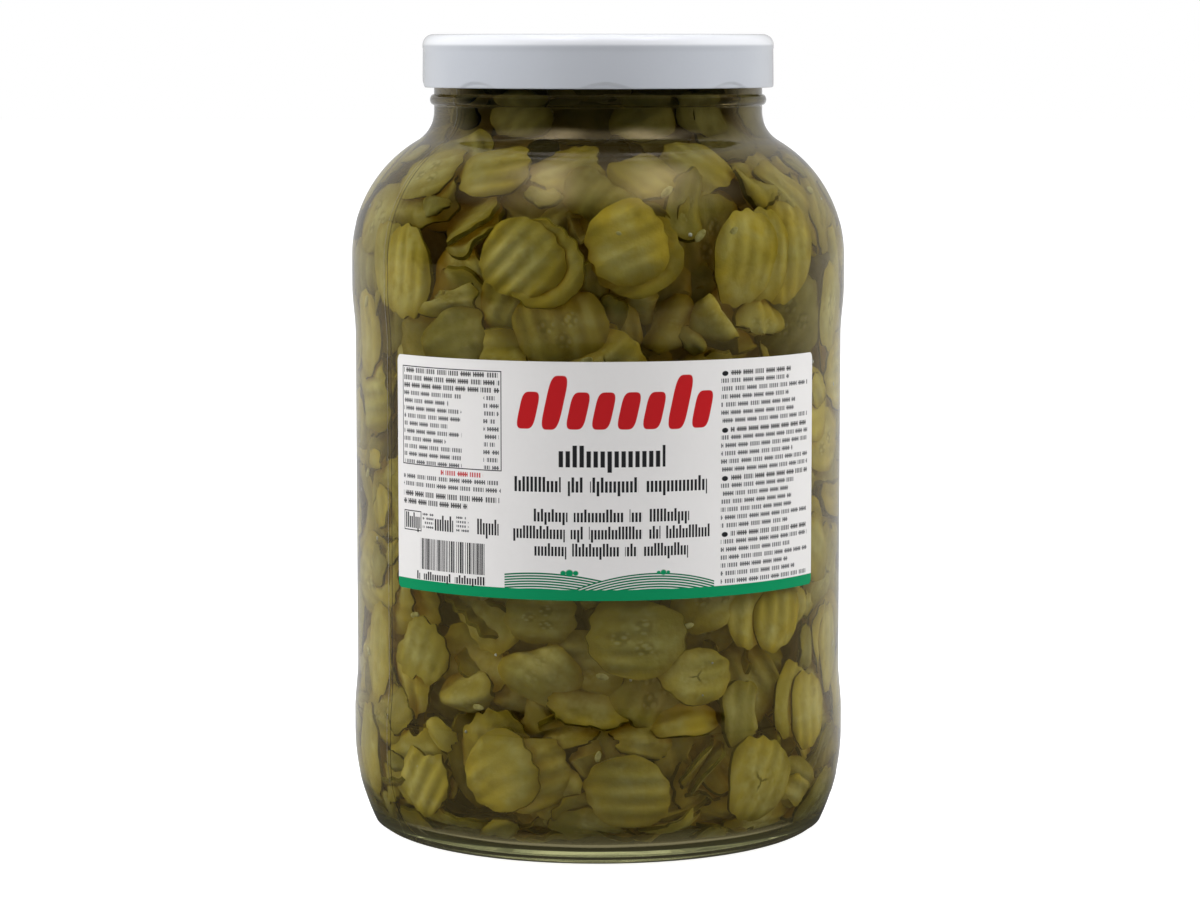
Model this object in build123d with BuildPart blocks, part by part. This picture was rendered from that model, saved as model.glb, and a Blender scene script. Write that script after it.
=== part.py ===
"""A large pickle jar: glass jar, twist-off metal lid, paper front label and the brine that fills it.

Frame: millimetres, +Z up, the origin on the jar's axis at the table it stands on.
The middle of the front faces -Y. Angles round the axis start at the front and grow towards +X.
"""

from build123d import *

from math import acos, cos, degrees, radians, sin, sqrt
import os

# ---- glass: outside of the body ----
BULGE_R = 78.5  # the two widest bands, which guard the label
PANEL_RECESS = 1.0  # depth of the flat panel that carries the label
HEEL_TOP_Z = 31.0  # where the heel's curve reaches the lower band
LOWER_BAND = 6.0  # height of the lower band
UPPER_BAND = 9.0  # height of the upper band, under the shoulder
EASE_HEIGHT = 16.0  # height over which a band eases into the panel
SHOULDER_Z = 183.0  # where the shoulder's curve starts
SHOULDER_R = 42.5  # radius of the shoulder's curve
NECK_R = 52.1
NECK_HOLLOW_R = 11.0  # radius of the hollow curve between shoulder and neck
NECK_BARE = 1.6715  # plain neck between the hollow curve and the ring under the lid
# ---- glass: base ----
HEEL_CURVE_R = 67.0
HEEL_FOOT_Z = 1.2  # where the heel's curve meets the rounded foot
FOOT_INSET = 11.5  # from the widest band in to the ring that the jar stands on
FOOT_WIDTH = 7.0
PUSH_UP = 4.5  # rise of the domed base at the axis
# ---- glass: wall ----
WALL = 3.0
BASE_WALL = 5.5
NECK_WALL = 3.3
INNER_HEEL_R = 15.0
INNER_HOLLOW_R = 14.0
# ---- glass: neck and finish ----
BEAD_DROP = 3.9  # from the lid's lower edge down to the middle of the ring under it
BEAD_OUT = 1.3
BEAD_HEIGHT = 3.4
RIM_ROUND = 1.2
THREAD_OUT = 1.7
THREAD_HEIGHT = 1.6
THREAD_ANGLE = 30.0
THREAD_ROOT = 0.5  # how far a thread's section reaches into the neck's wall
# ---- lid ----
LID_CLEARANCE = 1.65  # between the threads and the skirt
LID_HEIGHT = 16.7
SHEET = 0.3  # lacquered steel sheet
LID_SHOULDER_R = 3.2
CROWN_CLEARANCE = 0.8  # between the bore and the raised ring's inner edge
PANEL_DROP = 1.1  # the lid's middle lies this much below the ring
PANEL_STEP = 1.2  # radial width of the step down to the middle
HEM_HEIGHT = 1.6
HEM_DEPTH = 0.9
LUG_COUNT = 8
LUG_PHASE = 2.5  # degrees from the front to the nearest lug
LUG_WIDTH = 11.5
LUG_THICKNESS = 1.2
LUG_CLEARANCE = 0.25  # between a lug's tip and the neck
PINCH_DEPTH = 0.45  # flat pressed into the hem where a lug is formed
PINCH_HEIGHT = 1.2
# ---- label ----
LABEL_THICKNESS = 0.12
LABEL_WIDTH = 150.3  # measured round the panel
LABEL_TOP_GAP = 2.7  # from the label up to the end of the panel
LABEL_HEIGHT = 72.3
LABEL_CENTRE = 3.0  # degrees from the front
LABEL_CORNER = 2.0
# ---- contents ----
HEADSPACE = 8.0  # free height between the brine and the lid's middle

# ---- sizes that follow ----
panel_outer_r = BULGE_R - PANEL_RECESS
foot_outer_r = BULGE_R - FOOT_INSET
foot_inner_r = foot_outer_r - FOOT_WIDTH
neck_length = NECK_BARE + BEAD_HEIGHT / 2 + BEAD_DROP + LID_HEIGHT - SHEET
panel_low_z = HEEL_TOP_Z + LOWER_BAND + EASE_HEIGHT
panel_high_z = SHOULDER_Z - UPPER_BAND - EASE_HEIGHT
shoulder_centre_r = BULGE_R - SHOULDER_R
shoulder_rise = sqrt((SHOULDER_R + NECK_HOLLOW_R) ** 2 - (NECK_R + NECK_HOLLOW_R - shoulder_centre_r) ** 2)
rim_z = SHOULDER_Z + shoulder_rise + neck_length
bore_r = NECK_R - NECK_WALL
lid_r = NECK_R + THREAD_OUT + LID_CLEARANCE + SHEET
lid_top_z = rim_z + SHEET
lid_bottom_z = lid_top_z - LID_HEIGHT
lid_panel_z = lid_top_z - PANEL_DROP
crown_inner_r = bore_r - CROWN_CLEARANCE
hem_inner_r = lid_r - HEM_DEPTH
hem_top_z = lid_bottom_z + HEM_HEIGHT
bead_z = lid_bottom_z - BEAD_DROP
brine_top_z = lid_panel_z - SHEET - HEADSPACE
heel_foot_r = BULGE_R - HEEL_CURVE_R + sqrt(HEEL_CURVE_R**2 - (HEEL_TOP_Z - HEEL_FOOT_Z) ** 2)
label_angle = degrees(LABEL_WIDTH / panel_outer_r)
label_bottom_z = panel_high_z - LABEL_TOP_GAP - LABEL_HEIGHT


def upright_plane(angle):
    """The plane that holds the axis and points outwards at this angle from the front."""
    a = radians(angle)
    return Plane(origin=(0, 0, 0), x_dir=(sin(a), -cos(a), 0), z_dir=(-cos(a), -sin(a), 0))


def ease(low, high):
    """Two equal arcs that carry the wall from one upright stretch to the next above it."""
    middle = ((low[0] + high[0]) / 2, (low[1] + high[1]) / 2)
    TangentArc([low, middle], tangent=(0, 1))
    TangentArc([high, middle], tangent=(0, -1))


def wall_line(start_z, inset, neck_r, hollow_r, top_z):
    """One side of the glass from above the heel to top_z, inset from the outside of the body."""
    band_r = BULGE_R - inset
    panel_r = panel_outer_r - inset
    shoulder_r = SHOULDER_R - inset
    lean = acos((neck_r + hollow_r - shoulder_centre_r) / (shoulder_r + hollow_r))
    joint = (shoulder_centre_r + shoulder_r * cos(lean), SHOULDER_Z + shoulder_r * sin(lean))
    neck_z = SHOULDER_Z + (shoulder_r + hollow_r) * sin(lean)
    Line((band_r, start_z), (band_r, HEEL_TOP_Z + LOWER_BAND))
    ease((band_r, HEEL_TOP_Z + LOWER_BAND), (panel_r, panel_low_z))
    Line((panel_r, panel_low_z), (panel_r, panel_high_z))
    ease((panel_r, panel_high_z), (band_r, SHOULDER_Z - UPPER_BAND))
    Line((band_r, SHOULDER_Z - UPPER_BAND), (band_r, SHOULDER_Z))
    TangentArc([(band_r, SHOULDER_Z), joint], tangent=(0, 1))
    TangentArc([(neck_r, neck_z), joint], tangent=(0, -1))
    Line((neck_r, neck_z), (neck_r, top_z))


def inside_line(top_z):
    """The glass's inner side, from the middle of the base to top_z."""
    band_r = BULGE_R - WALL
    heel_z = BASE_WALL + INNER_HEEL_R
    edge = (band_r - INNER_HEEL_R, BASE_WALL)
    TangentArc([(0, BASE_WALL + PUSH_UP), edge], tangent=(1, 0))
    TangentArc([(band_r, heel_z), edge], tangent=(0, -1))
    wall_line(heel_z, WALL, bore_r, INNER_HOLLOW_R, top_z)


# ---- glass jar ----
with BuildPart() as thread:
    with BuildSketch(upright_plane(LUG_PHASE - THREAD_ANGLE / 2)):
        with BuildLine():
            Polyline(
                (NECK_R - THREAD_ROOT, hem_top_z),
                (NECK_R + THREAD_OUT, hem_top_z),
                (NECK_R + THREAD_OUT, hem_top_z + THREAD_HEIGHT / 2),
                (NECK_R, hem_top_z + THREAD_HEIGHT),
                (NECK_R - THREAD_ROOT, hem_top_z + THREAD_HEIGHT),
                close=True,
            )
        make_face()
    revolve(axis=Axis.Z, revolution_arc=THREAD_ANGLE)

with BuildPart() as jar:
    with BuildSketch(upright_plane(0)) as section:
        with BuildLine():
            TangentArc([(0, PUSH_UP), (foot_inner_r, 0)], tangent=(1, 0))
            Line((foot_inner_r, 0), (foot_outer_r, 0))
            TangentArc([(foot_outer_r, 0), (heel_foot_r, HEEL_FOOT_Z)], tangent=(1, 0))
            TangentArc([(BULGE_R, HEEL_TOP_Z), (heel_foot_r, HEEL_FOOT_Z)], tangent=(0, -1))
            wall_line(HEEL_TOP_Z, 0, NECK_R, NECK_HOLLOW_R, bead_z - BEAD_HEIGHT / 2)
            ThreePointArc(
                (NECK_R, bead_z - BEAD_HEIGHT / 2),
                (NECK_R + BEAD_OUT, bead_z),
                (NECK_R, bead_z + BEAD_HEIGHT / 2),
            )
            Polyline((NECK_R, bead_z + BEAD_HEIGHT / 2), (NECK_R, rim_z), (bore_r, rim_z))
            inside_line(rim_z)
            Line((0, PUSH_UP), (0, BASE_WALL + PUSH_UP))
        make_face()
        fillet(section.vertices().group_by(Axis.Y)[-1], RIM_ROUND)
    revolve(axis=Axis.Z)
    with PolarLocations(0, LUG_COUNT):
        add(thread.part)
jar.part.label = "jar"

# ---- brine ----
with BuildPart() as brine:
    with BuildSketch(upright_plane(0)):
        with BuildLine():
            inside_line(brine_top_z)
            Polyline((bore_r, brine_top_z), (0, brine_top_z), (0, BASE_WALL + PUSH_UP))
        make_face()
    revolve(axis=Axis.Z)
brine.part.label = "brine"

# ---- lid ----
with BuildPart() as lug:
    lug_turn = degrees(LUG_WIDTH / NECK_R)
    with BuildSketch(upright_plane(LUG_PHASE - lug_turn / 2)):
        with Locations((hem_inner_r + SHEET, hem_top_z)):
            Rectangle(
                hem_inner_r + SHEET - NECK_R - LUG_CLEARANCE,
                LUG_THICKNESS,
                align=(Align.MAX, Align.MAX),
            )
    revolve(axis=Axis.Z, revolution_arc=lug_turn)

with BuildPart() as pinch:
    with BuildSketch(upright_plane(LUG_PHASE)):
        with Locations((lid_r - PINCH_DEPTH, lid_bottom_z)):
            Rectangle(HEM_DEPTH, PINCH_HEIGHT, align=(Align.MIN, Align.MIN))
    extrude(amount=LUG_WIDTH, both=True)

with BuildPart() as lid:
    with BuildSketch(upright_plane(0)):
        with BuildLine():
            Polyline(
                (0, lid_panel_z),
                (crown_inner_r - PANEL_STEP, lid_panel_z),
                (crown_inner_r, lid_top_z),
                (lid_r - LID_SHOULDER_R, lid_top_z),
            )
            TangentArc(
                [(lid_r - LID_SHOULDER_R, lid_top_z), (lid_r, lid_top_z - LID_SHOULDER_R)],
                tangent=(1, 0),
            )
            Line((lid_r, lid_top_z - LID_SHOULDER_R), (lid_r, lid_bottom_z + HEM_DEPTH / 2))
            ThreePointArc(
                (lid_r, lid_bottom_z + HEM_DEPTH / 2),
                (lid_r - HEM_DEPTH / 2, lid_bottom_z),
                (hem_inner_r, lid_bottom_z + HEM_DEPTH / 2),
            )
            Polyline(
                (hem_inner_r, lid_bottom_z + HEM_DEPTH / 2),
                (hem_inner_r, hem_top_z),
                (lid_r - SHEET, hem_top_z + SHEET),
                (lid_r - SHEET, lid_top_z - LID_SHOULDER_R),
            )
            TangentArc(
                [
                    (lid_r - SHEET, lid_top_z - LID_SHOULDER_R),
                    (lid_r - LID_SHOULDER_R, lid_top_z - SHEET),
                ],
                tangent=(0, 1),
            )
            Polyline(
                (lid_r - LID_SHOULDER_R, lid_top_z - SHEET),
                (crown_inner_r + SHEET, lid_top_z - SHEET),
                (crown_inner_r + SHEET - PANEL_STEP, lid_panel_z - SHEET),
                (0, lid_panel_z - SHEET),
                (0, lid_panel_z),
            )
        make_face()
    revolve(axis=Axis.Z)
    with PolarLocations(0, LUG_COUNT):
        add(pinch.part, mode=Mode.SUBTRACT)
    with PolarLocations(0, LUG_COUNT):
        add(lug.part)
lid.part.label = "lid"

# ---- label ----
with BuildPart() as label:
    with BuildSketch(upright_plane(LABEL_CENTRE - label_angle / 2)):
        with Locations((panel_outer_r, label_bottom_z)):
            Rectangle(LABEL_THICKNESS, LABEL_HEIGHT, align=(Align.MIN, Align.MIN))
    revolve(axis=Axis.Z, revolution_arc=label_angle)
    corners = label.edges().filter_by(GeomType.LINE).filter_by(lambda e: e.length < LABEL_CORNER)
    fillet(corners, LABEL_CORNER)
label.part.label = "label"

os.makedirs("parts", exist_ok=True)
for piece in (jar, brine, lid, label):
    export_step(piece.part, f"parts/{piece.part.label}.step")
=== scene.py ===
"""The looks of a large jar of crinkle-cut pickles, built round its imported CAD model.

Metres, +Z up, and the front faces -Y. Angles round the jar's axis start at the front and grow
towards +X. Sizes of the pieces are given in millimetres and turned into metres where meshes are made.
"""

import logging
import math
from dataclasses import dataclass, field, replace
from enum import Enum
from typing import Callable

import bmesh
import bpy
import numpy as np
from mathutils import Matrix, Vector, noise


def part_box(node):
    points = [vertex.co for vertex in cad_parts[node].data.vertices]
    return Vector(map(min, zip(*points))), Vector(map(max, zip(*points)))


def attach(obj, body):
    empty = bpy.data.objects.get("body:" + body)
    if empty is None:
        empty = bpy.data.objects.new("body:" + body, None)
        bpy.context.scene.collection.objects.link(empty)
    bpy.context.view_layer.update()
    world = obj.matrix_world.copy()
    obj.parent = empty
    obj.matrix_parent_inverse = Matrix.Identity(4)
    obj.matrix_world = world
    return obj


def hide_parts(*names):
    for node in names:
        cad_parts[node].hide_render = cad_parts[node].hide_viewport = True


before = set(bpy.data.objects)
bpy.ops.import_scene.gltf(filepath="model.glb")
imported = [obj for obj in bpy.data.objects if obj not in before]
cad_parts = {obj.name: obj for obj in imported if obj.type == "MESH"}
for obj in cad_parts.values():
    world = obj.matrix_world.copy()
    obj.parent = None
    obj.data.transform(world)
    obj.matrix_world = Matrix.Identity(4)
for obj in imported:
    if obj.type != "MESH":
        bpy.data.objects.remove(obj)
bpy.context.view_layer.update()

MM = 0.001
ROOT = "root"
FACE_MIDDLE, FACE_REACH = 0.5, 0.4
log = logging.getLogger("pickle_jar")

Point = tuple[float, float]
Colour = tuple[float, float, float, float]


def rgb(red: float, green: float, blue: float) -> Colour:
    """Turns a display colour, 0 to 255 a channel, into the linear colour that a shader takes."""
    parts = [c / 255 for c in (red, green, blue)]
    linear = [p / 12.92 if p <= 0.04045 else ((p + 0.055) / 1.055) ** 2.4 for p in parts]
    return (linear[0], linear[1], linear[2], 1.0)


# ---- shader expressions


class Value:
    """A number that flows between nodes. Arithmetic on it adds Math nodes."""

    def __init__(self, graph: "Graph", socket: bpy.types.NodeSocket) -> None:
        """Wraps a socket of a graph."""
        self.graph = graph
        self.socket = socket

    def math(self, operation: str, *operands: object) -> "Value":
        """Adds one Math node.

        Args:
            operation: the node's operation.
            operands: values or numbers for its sockets, in order.

        Returns:
            The node's result.
        """
        node = self.graph.node("ShaderNodeMath", {"operation": operation}, dict(enumerate(operands)))
        return Value(self.graph, node.outputs[0])

    def __add__(self, other: object) -> "Value":
        """Adds."""
        return self.math("ADD", self, other)

    def __radd__(self, other: object) -> "Value":
        """Adds to a number."""
        return self.math("ADD", other, self)

    def __sub__(self, other: object) -> "Value":
        """Subtracts."""
        return self.math("SUBTRACT", self, other)

    def __rsub__(self, other: object) -> "Value":
        """Subtracts from a number."""
        return self.math("SUBTRACT", other, self)

    def __mul__(self, other: object) -> "Value":
        """Multiplies."""
        return self.math("MULTIPLY", self, other)

    def __rmul__(self, other: object) -> "Value":
        """Multiplies a number."""
        return self.math("MULTIPLY", other, self)

    def __truediv__(self, other: object) -> "Value":
        """Divides."""
        return self.math("DIVIDE", self, other)

    def __abs__(self) -> "Value":
        """The size of the number."""
        return self.math("ABSOLUTE", self)

    def __lt__(self, other: object) -> "Value":
        """1 where the number is the smaller one, else 0."""
        return self.math("LESS_THAN", self, other)

    def __gt__(self, other: object) -> "Value":
        """1 where the number is the larger one, else 0."""
        return self.math("GREATER_THAN", self, other)

    def floor(self) -> "Value":
        """The whole part."""
        return self.math("FLOOR", self)

    def fract(self) -> "Value":
        """The part after the point."""
        return self.math("FRACT", self)

    def sine(self) -> "Value":
        """The sine, of radians."""
        return self.math("SINE", self)

    def at_least(self, other: object) -> "Value":
        """The larger of the two."""
        return self.math("MAXIMUM", self, other)

    def rise(self, low: float, high: float) -> "Value":
        """0 at low, 1 at high and a smooth step between; low may be the larger."""
        node = self.graph.node(
            "ShaderNodeMapRange",
            {"interpolation_type": "SMOOTHSTEP"},
            {"Value": self, "From Min": low, "From Max": high},
        )
        return Value(self.graph, node.outputs[0])

    def between(self, low: object, high: object) -> "Value":
        """1 where the number lies between the two, else 0."""
        return (self > low) * (self < high)


class Graph:
    """The nodes of one material or world."""

    def __init__(self, owner: bpy.types.ID) -> None:
        """Clears the owner's nodes.

        Args:
            owner: the material or world.
        """
        owner.use_nodes = True
        self.owner = owner
        self.tree = owner.node_tree
        self.tree.nodes.clear()

    def feed(self, socket: bpy.types.NodeSocket, value: object) -> None:
        """Gives a socket a link or a plain value."""
        if isinstance(value, Value):
            self.tree.links.new(value.socket, socket)
        elif isinstance(value, bpy.types.NodeSocket):
            self.tree.links.new(value, socket)
        else:
            socket.default_value = value

    def node(self, kind: str, settings: dict | None = None, inputs: dict | None = None) -> bpy.types.Node:
        """Adds one node.

        Args:
            kind: the node's type.
            settings: its properties, set first; "stops" are a ramp's positions and colours.
            inputs: a value or link for each named or numbered socket.

        Returns:
            The new node.
        """
        node = self.tree.nodes.new(kind)
        for name, value in (settings or {}).items():
            if name == "stops":
                ramp = node.color_ramp.elements
                while len(ramp) < len(value):
                    ramp.new(0.5)
                for element, (place, colour) in zip(ramp, value):
                    element.position, element.color = place, colour
            else:
                setattr(node, name, value)
        for name, value in (inputs or {}).items():
            self.feed(node.inputs[name], value)
        return node

    def value(
        self, kind: str, settings: dict | None = None, inputs: dict | None = None, out: object = 0
    ) -> Value:
        """Adds a node and gives one of its results as a number."""
        return Value(self, self.node(kind, settings, inputs).outputs[out])

    def mix(self, share: object, first: object, second: object, way: str = "MIX") -> bpy.types.NodeSocket:
        """Mixes two colours.

        Args:
            share: how much of the second shows.
            first: the colour at share 0.
            second: the colour at share 1.
            way: the blending mode.

        Returns:
            The mixed colour.
        """
        settings = {"data_type": "RGBA", "blend_type": way}
        return self.node("ShaderNodeMix", settings, {0: share, 6: first, 7: second}).outputs[2]

    def place(self, source: str = "Object") -> bpy.types.NodeSocket:
        """The point being shaded, in the piece's own coordinates."""
        return self.node("ShaderNodeTexCoord").outputs[source]

    def axes(self, vector: bpy.types.NodeSocket) -> tuple[Value, Value, Value]:
        """Splits a vector into its three numbers."""
        node = self.node("ShaderNodeSeparateXYZ", None, {0: vector})
        return Value(self, node.outputs[0]), Value(self, node.outputs[1]), Value(self, node.outputs[2])

    def noise(self, vector: object, scale: float, detail: float = 2.0, rough: float = 0.5) -> Value:
        """Cloudy noise from 0 to 1."""
        inputs = {"Vector": vector, "Scale": scale, "Detail": detail, "Roughness": rough}
        return self.value("ShaderNodeTexNoise", None, inputs)

    def bump(self, height: Value, strength: float, distance: float) -> bpy.types.NodeSocket:
        """A normal bent by a height."""
        inputs = {"Height": height, "Strength": strength, "Distance": distance}
        return self.node("ShaderNodeBump", None, inputs).outputs[0]

    def finish(self, surface: bpy.types.NodeSocket, volume: bpy.types.NodeSocket | None = None) -> None:
        """Joins a shader, and a volume if there is one, to the output."""
        is_world = isinstance(self.owner, bpy.types.World)
        output = self.node("ShaderNodeOutputWorld" if is_world else "ShaderNodeOutputMaterial")
        self.feed(output.inputs["Surface"], surface)
        if volume is not None:
            self.feed(output.inputs["Volume"], volume)


def new_graph(name: str) -> Graph:
    """Starts the material of that name."""
    return Graph(bpy.data.materials.new(name))


# ---- finishes


@dataclass(frozen=True)
class ClearLiquidOrGlass:
    """A clear body that bends light, takes some up inside, and lets lamps light what is in it.

    The ripple is how far its face waves. Seams stand at their angles, and a ring at its height. The last two
    fields give the colour and strength of a faint glow inside it: painted light for light scattered by
    cloudiness.
    """

    name: str
    ior: float
    tint: Colour
    depth_tint: Colour
    density: float
    sheen: Colour = (1.0, 1.0, 1.0, 1.0)
    ripple: float = 0.0
    seams: tuple[float, ...] = ()
    ring_z: float = 0.0
    ripple_scale: float = 28.0
    seam_half: float = 0.35
    seam_high: float = 0.12
    ring_half: float = 0.0007
    ring_high: float = 0.05
    # painted light: colour and strength of a faint glow inside
    murk: Colour = (0.0, 0.0, 0.0, 1.0)
    murk_glow: float = 0.0

    def material(self) -> bpy.types.Material:
        """Makes the material."""
        g = new_graph(self.name)
        settings = {
            "Base Color": self.tint,
            "Roughness": 0.0,
            "IOR": self.ior,
            "Transmission Weight": 1.0,
            "Specular Tint": self.sheen,
        }
        if self.ripple:
            settings["Normal"] = self.relief(g)
        body = g.node("ShaderNodeBsdfPrincipled", None, settings)
        clear = g.node("ShaderNodeBsdfTransparent", None, {0: self.tint})
        shadow = g.node("ShaderNodeLightPath").outputs["Is Shadow Ray"]
        mixed = g.node("ShaderNodeMixShader", None, {0: shadow, 1: body.outputs[0], 2: clear.outputs[0]})
        taken = {"Color": self.depth_tint, "Density": self.density}
        absorb = g.node("ShaderNodeVolumeAbsorption", None, taken)
        # painted light: the body glows faintly inside, standing in for light scattered by cloudiness
        murk = g.node("ShaderNodeEmission", None, {"Color": self.murk, "Strength": self.murk_glow})
        both = g.node("ShaderNodeAddShader", None, {0: absorb.outputs[0], 1: murk.outputs[0]})
        g.finish(mixed.outputs[0], both.outputs[0])
        return g.owner

    def relief(self, g: Graph) -> bpy.types.NodeSocket:
        """The slow ripple of moulded glass, with its mould seams and the ring where the base plate met."""
        point = g.place()
        x, y, z = g.axes(point)
        height = g.noise(point, self.ripple_scale, 1.0) * self.ripple
        angle = x.math("ARCTAN2", x, 0.0 - y) * (180 / math.pi)
        for seam in self.seams:
            height = height + abs(angle - seam).rise(self.seam_half, 0.0) * self.seam_high
        if self.ring_z:
            height = height + abs(z - self.ring_z).rise(self.ring_half, 0.0) * self.ring_high
        return g.bump(height, 1.0, 0.001)


@dataclass(frozen=True)
class LacqueredSteel:
    """White lacquer on pressed sheet: smooth, with faint orange peel and handling marks.

    Above crown_z the lacquer is painted a little whiter, as painted top light, and whitest outside edge_r,
    where it is rounded over, as a painted highlight.
    """

    name: str = "white_lacquer"
    white: Colour = rgb(196, 200, 206)
    worn: Colour = rgb(186, 191, 198)
    # painted top light above crown_z, and a painted highlight on the rounded edge outside edge_r
    crown: Colour = rgb(214, 217, 221)
    crown_z: float = 0.2492
    edge: Colour = rgb(240, 242, 245)
    edge_r: float = 0.053
    fade: float = 0.001

    def material(self) -> bpy.types.Material:
        """Makes the material."""
        g = new_graph(self.name)
        point = g.place()
        clouds = g.noise(point, 22.0, 3.0).rise(0.35, 0.75)
        marks = g.noise(point, 160.0, 4.0, 0.7).rise(0.62, 0.8)
        colour = g.mix(clouds * 0.35 + marks * 0.3, self.white, self.worn)
        x, y, z = g.axes(point)
        # painted top light over the lid's top, and a painted highlight on its rounded edge
        crown = z.rise(self.crown_z, self.crown_z + self.fade)
        edge = (x * x + y * y).rise(self.edge_r**2, (self.edge_r + self.fade) ** 2)
        colour = g.mix(crown, colour, g.mix(edge, self.crown, self.edge))
        peel = g.noise(point, 900.0, 2.0)
        body = g.node(
            "ShaderNodeBsdfPrincipled",
            None,
            {
                "Base Color": colour,
                "Roughness": 0.3 + clouds * 0.08 + marks * 0.12,
                "IOR": 1.5,
                "Coat Weight": 1.0,
                "Coat Roughness": 0.06,
                "Normal": g.bump(peel, 0.25, 0.00008),
            },
        )
        g.finish(body.outputs[0])
        return g.owner


class Ink(Enum):
    """The colours that small type on the label is printed in."""

    BLACK = "black"
    GREY = "grey"
    RED = "red"


@dataclass(frozen=True)
class TypeLine:
    """A line of large type, shown as upright strokes in groups.

    It gives millimetres from the label's lower left corner. Groups hold how many pairs of strokes each has,
    and the seed picks the strokes' heights.
    """

    left: float
    foot: float
    tall: float
    pitch: float
    groups: tuple[int, ...]
    seed: float

    def mask(self, x: Value, y: Value) -> Value:
        """Draws the line.

        Args:
            x: millimetres across the label.
            y: millimetres up it.

        Returns:
            1 on the strokes, 0 elsewhere.
        """
        inside, start = None, self.left
        for length in self.groups:
            end = start + length * self.pitch * 2
            group = x.between(start, end - self.pitch * 0.4)
            inside = group if inside is None else inside.at_least(group)
            start = end + self.pitch * 1.3
        step = (x - self.left) / self.pitch
        chance = ((step.floor() * 12.9898 + self.seed * 7.233).sine() * 43758.5453).fract()
        top = self.foot + self.tall * 0.74 + (chance > 0.72) * (self.tall * 0.26)
        stroke = abs(step.fract() - 0.5).rise(0.38, 0.26)
        low = self.foot - (chance < 0.12) * (self.tall * 0.24)
        return stroke * inside * (y > low) * (y < top)


@dataclass(frozen=True)
class TypeBlock:
    """A block of small type, shown as rows of short strokes.

    It gives millimetres from the label's lower left corner. Fill is the share of a row's height that its
    strokes take, and the seed picks the strokes.
    """

    left: float
    right: float
    low: float
    high: float
    pitch: float
    fill: float
    seed: float

    def mask(self, x: Value, y: Value) -> Value:
        """Draws the block.

        Args:
            x: millimetres across the label.
            y: millimetres up it.

        Returns:
            Nearly 1 on the strokes, 0 elsewhere.
        """
        line = (self.high - y) / self.pitch
        number = line.floor()
        shift = ((number * 78.233 + self.seed).sine() * 9631.7).fract()
        place = x * 0.22 + shift * 9.0
        chance = ((place.floor() * 12.9898 + number * 4.1414 + self.seed).sine() * 43758.5453).fract()
        letter = (x * 1.2 + shift * 5.0).fract()
        gap = place.fract() > 0.84
        end = self.right - (shift > 0.6) * shift * (self.right - self.left) * 0.3
        inside = (x > self.left) * (x < end) * y.between(self.low, self.high)
        bar = (chance > 0.4) * (line.fract() > self.fill * 0.35) * (line.fract() < self.fill * 0.7)
        dash = (letter < 0.62).at_least(bar)
        return (line.fract() < self.fill) * dash * (1.0 - gap) * inside * 0.9


# plants over the fields: how far each stands from the label's middle, and its size
PLANTS = ((-14.6, 1.0), (-12.7, 1.4), (-10.8, 1.0), (14.4, 0.7), (15.9, 1.1), (17.4, 0.7))

# middle lines: left end from the label's middle and foot below its top, the rest as in TypeLine
TITLE_LINES = (
    (-16.3, 31.8, 6.6, 2.1, (8,), 1),
    (-29.9, 39.4, 4.6, 1.26, (6, 2, 6, 8), 5),
    (-23.8, 48.4, 3.9, 1.1, (5, 7, 2, 6), 7),
    (-30.3, 53.6, 3.9, 1.04, (8, 2, 8, 2, 7), 9),
    (-23.6, 58.8, 3.9, 1.04, (5, 7, 2, 7), 11),
)

# the frames of the left column: left, right, foot and head, the last two below the label's top
FRAMES = ((2.7, 41.3, 33.6, 3.2), (3.2, 11.2, 54.0, 47.8))

# small type of the left column: left, right, foot and head below the top, the rest as in TypeBlock, colour
LEFT_BLOCKS = (
    (3.4, 40.6, 10.6, 3.8, 2.3, 0.64, 3, Ink.BLACK),
    (3.4, 27.5, 33.2, 10.9, 2.35, 0.54, 11, Ink.GREY),
    (35.2, 40.4, 33.2, 10.9, 2.35, 0.54, 12, Ink.GREY),
    (19.5, 41.0, 36.4, 34.4, 2.2, 0.66, 13, Ink.RED),
    (3.0, 41.0, 41.2, 36.6, 2.3, 0.56, 17, Ink.GREY),
    (3.0, 40.5, 46.6, 41.7, 2.45, 0.66, 19, Ink.BLACK),
    (11.8, 16.4, 53.4, 48.2, 1.3, 0.55, 21, Ink.GREY),
    (25.4, 30.0, 53.4, 48.2, 1.3, 0.55, 22, Ink.GREY),
)

# large type of the left column: as TITLE_LINES, but from the label's left edge
LEFT_LINES = (
    (3.8, 53.2, 4.8, 0.9, (4,), 15),
    (16.8, 53.2, 4.8, 0.98, (4,), 17),
    (32.8, 53.2, 4.8, 0.98, (4,), 19),
    (9.0, 68.8, 2.6, 0.95, (1, 6, 6), 23),
)

# the blocks of the right column: head and foot below the label's top
RIGHT_BLOCKS = ((3.4, 20.4), (20.7, 35.3), (35.4, 52.4), (52.5, 69.5))


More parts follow.
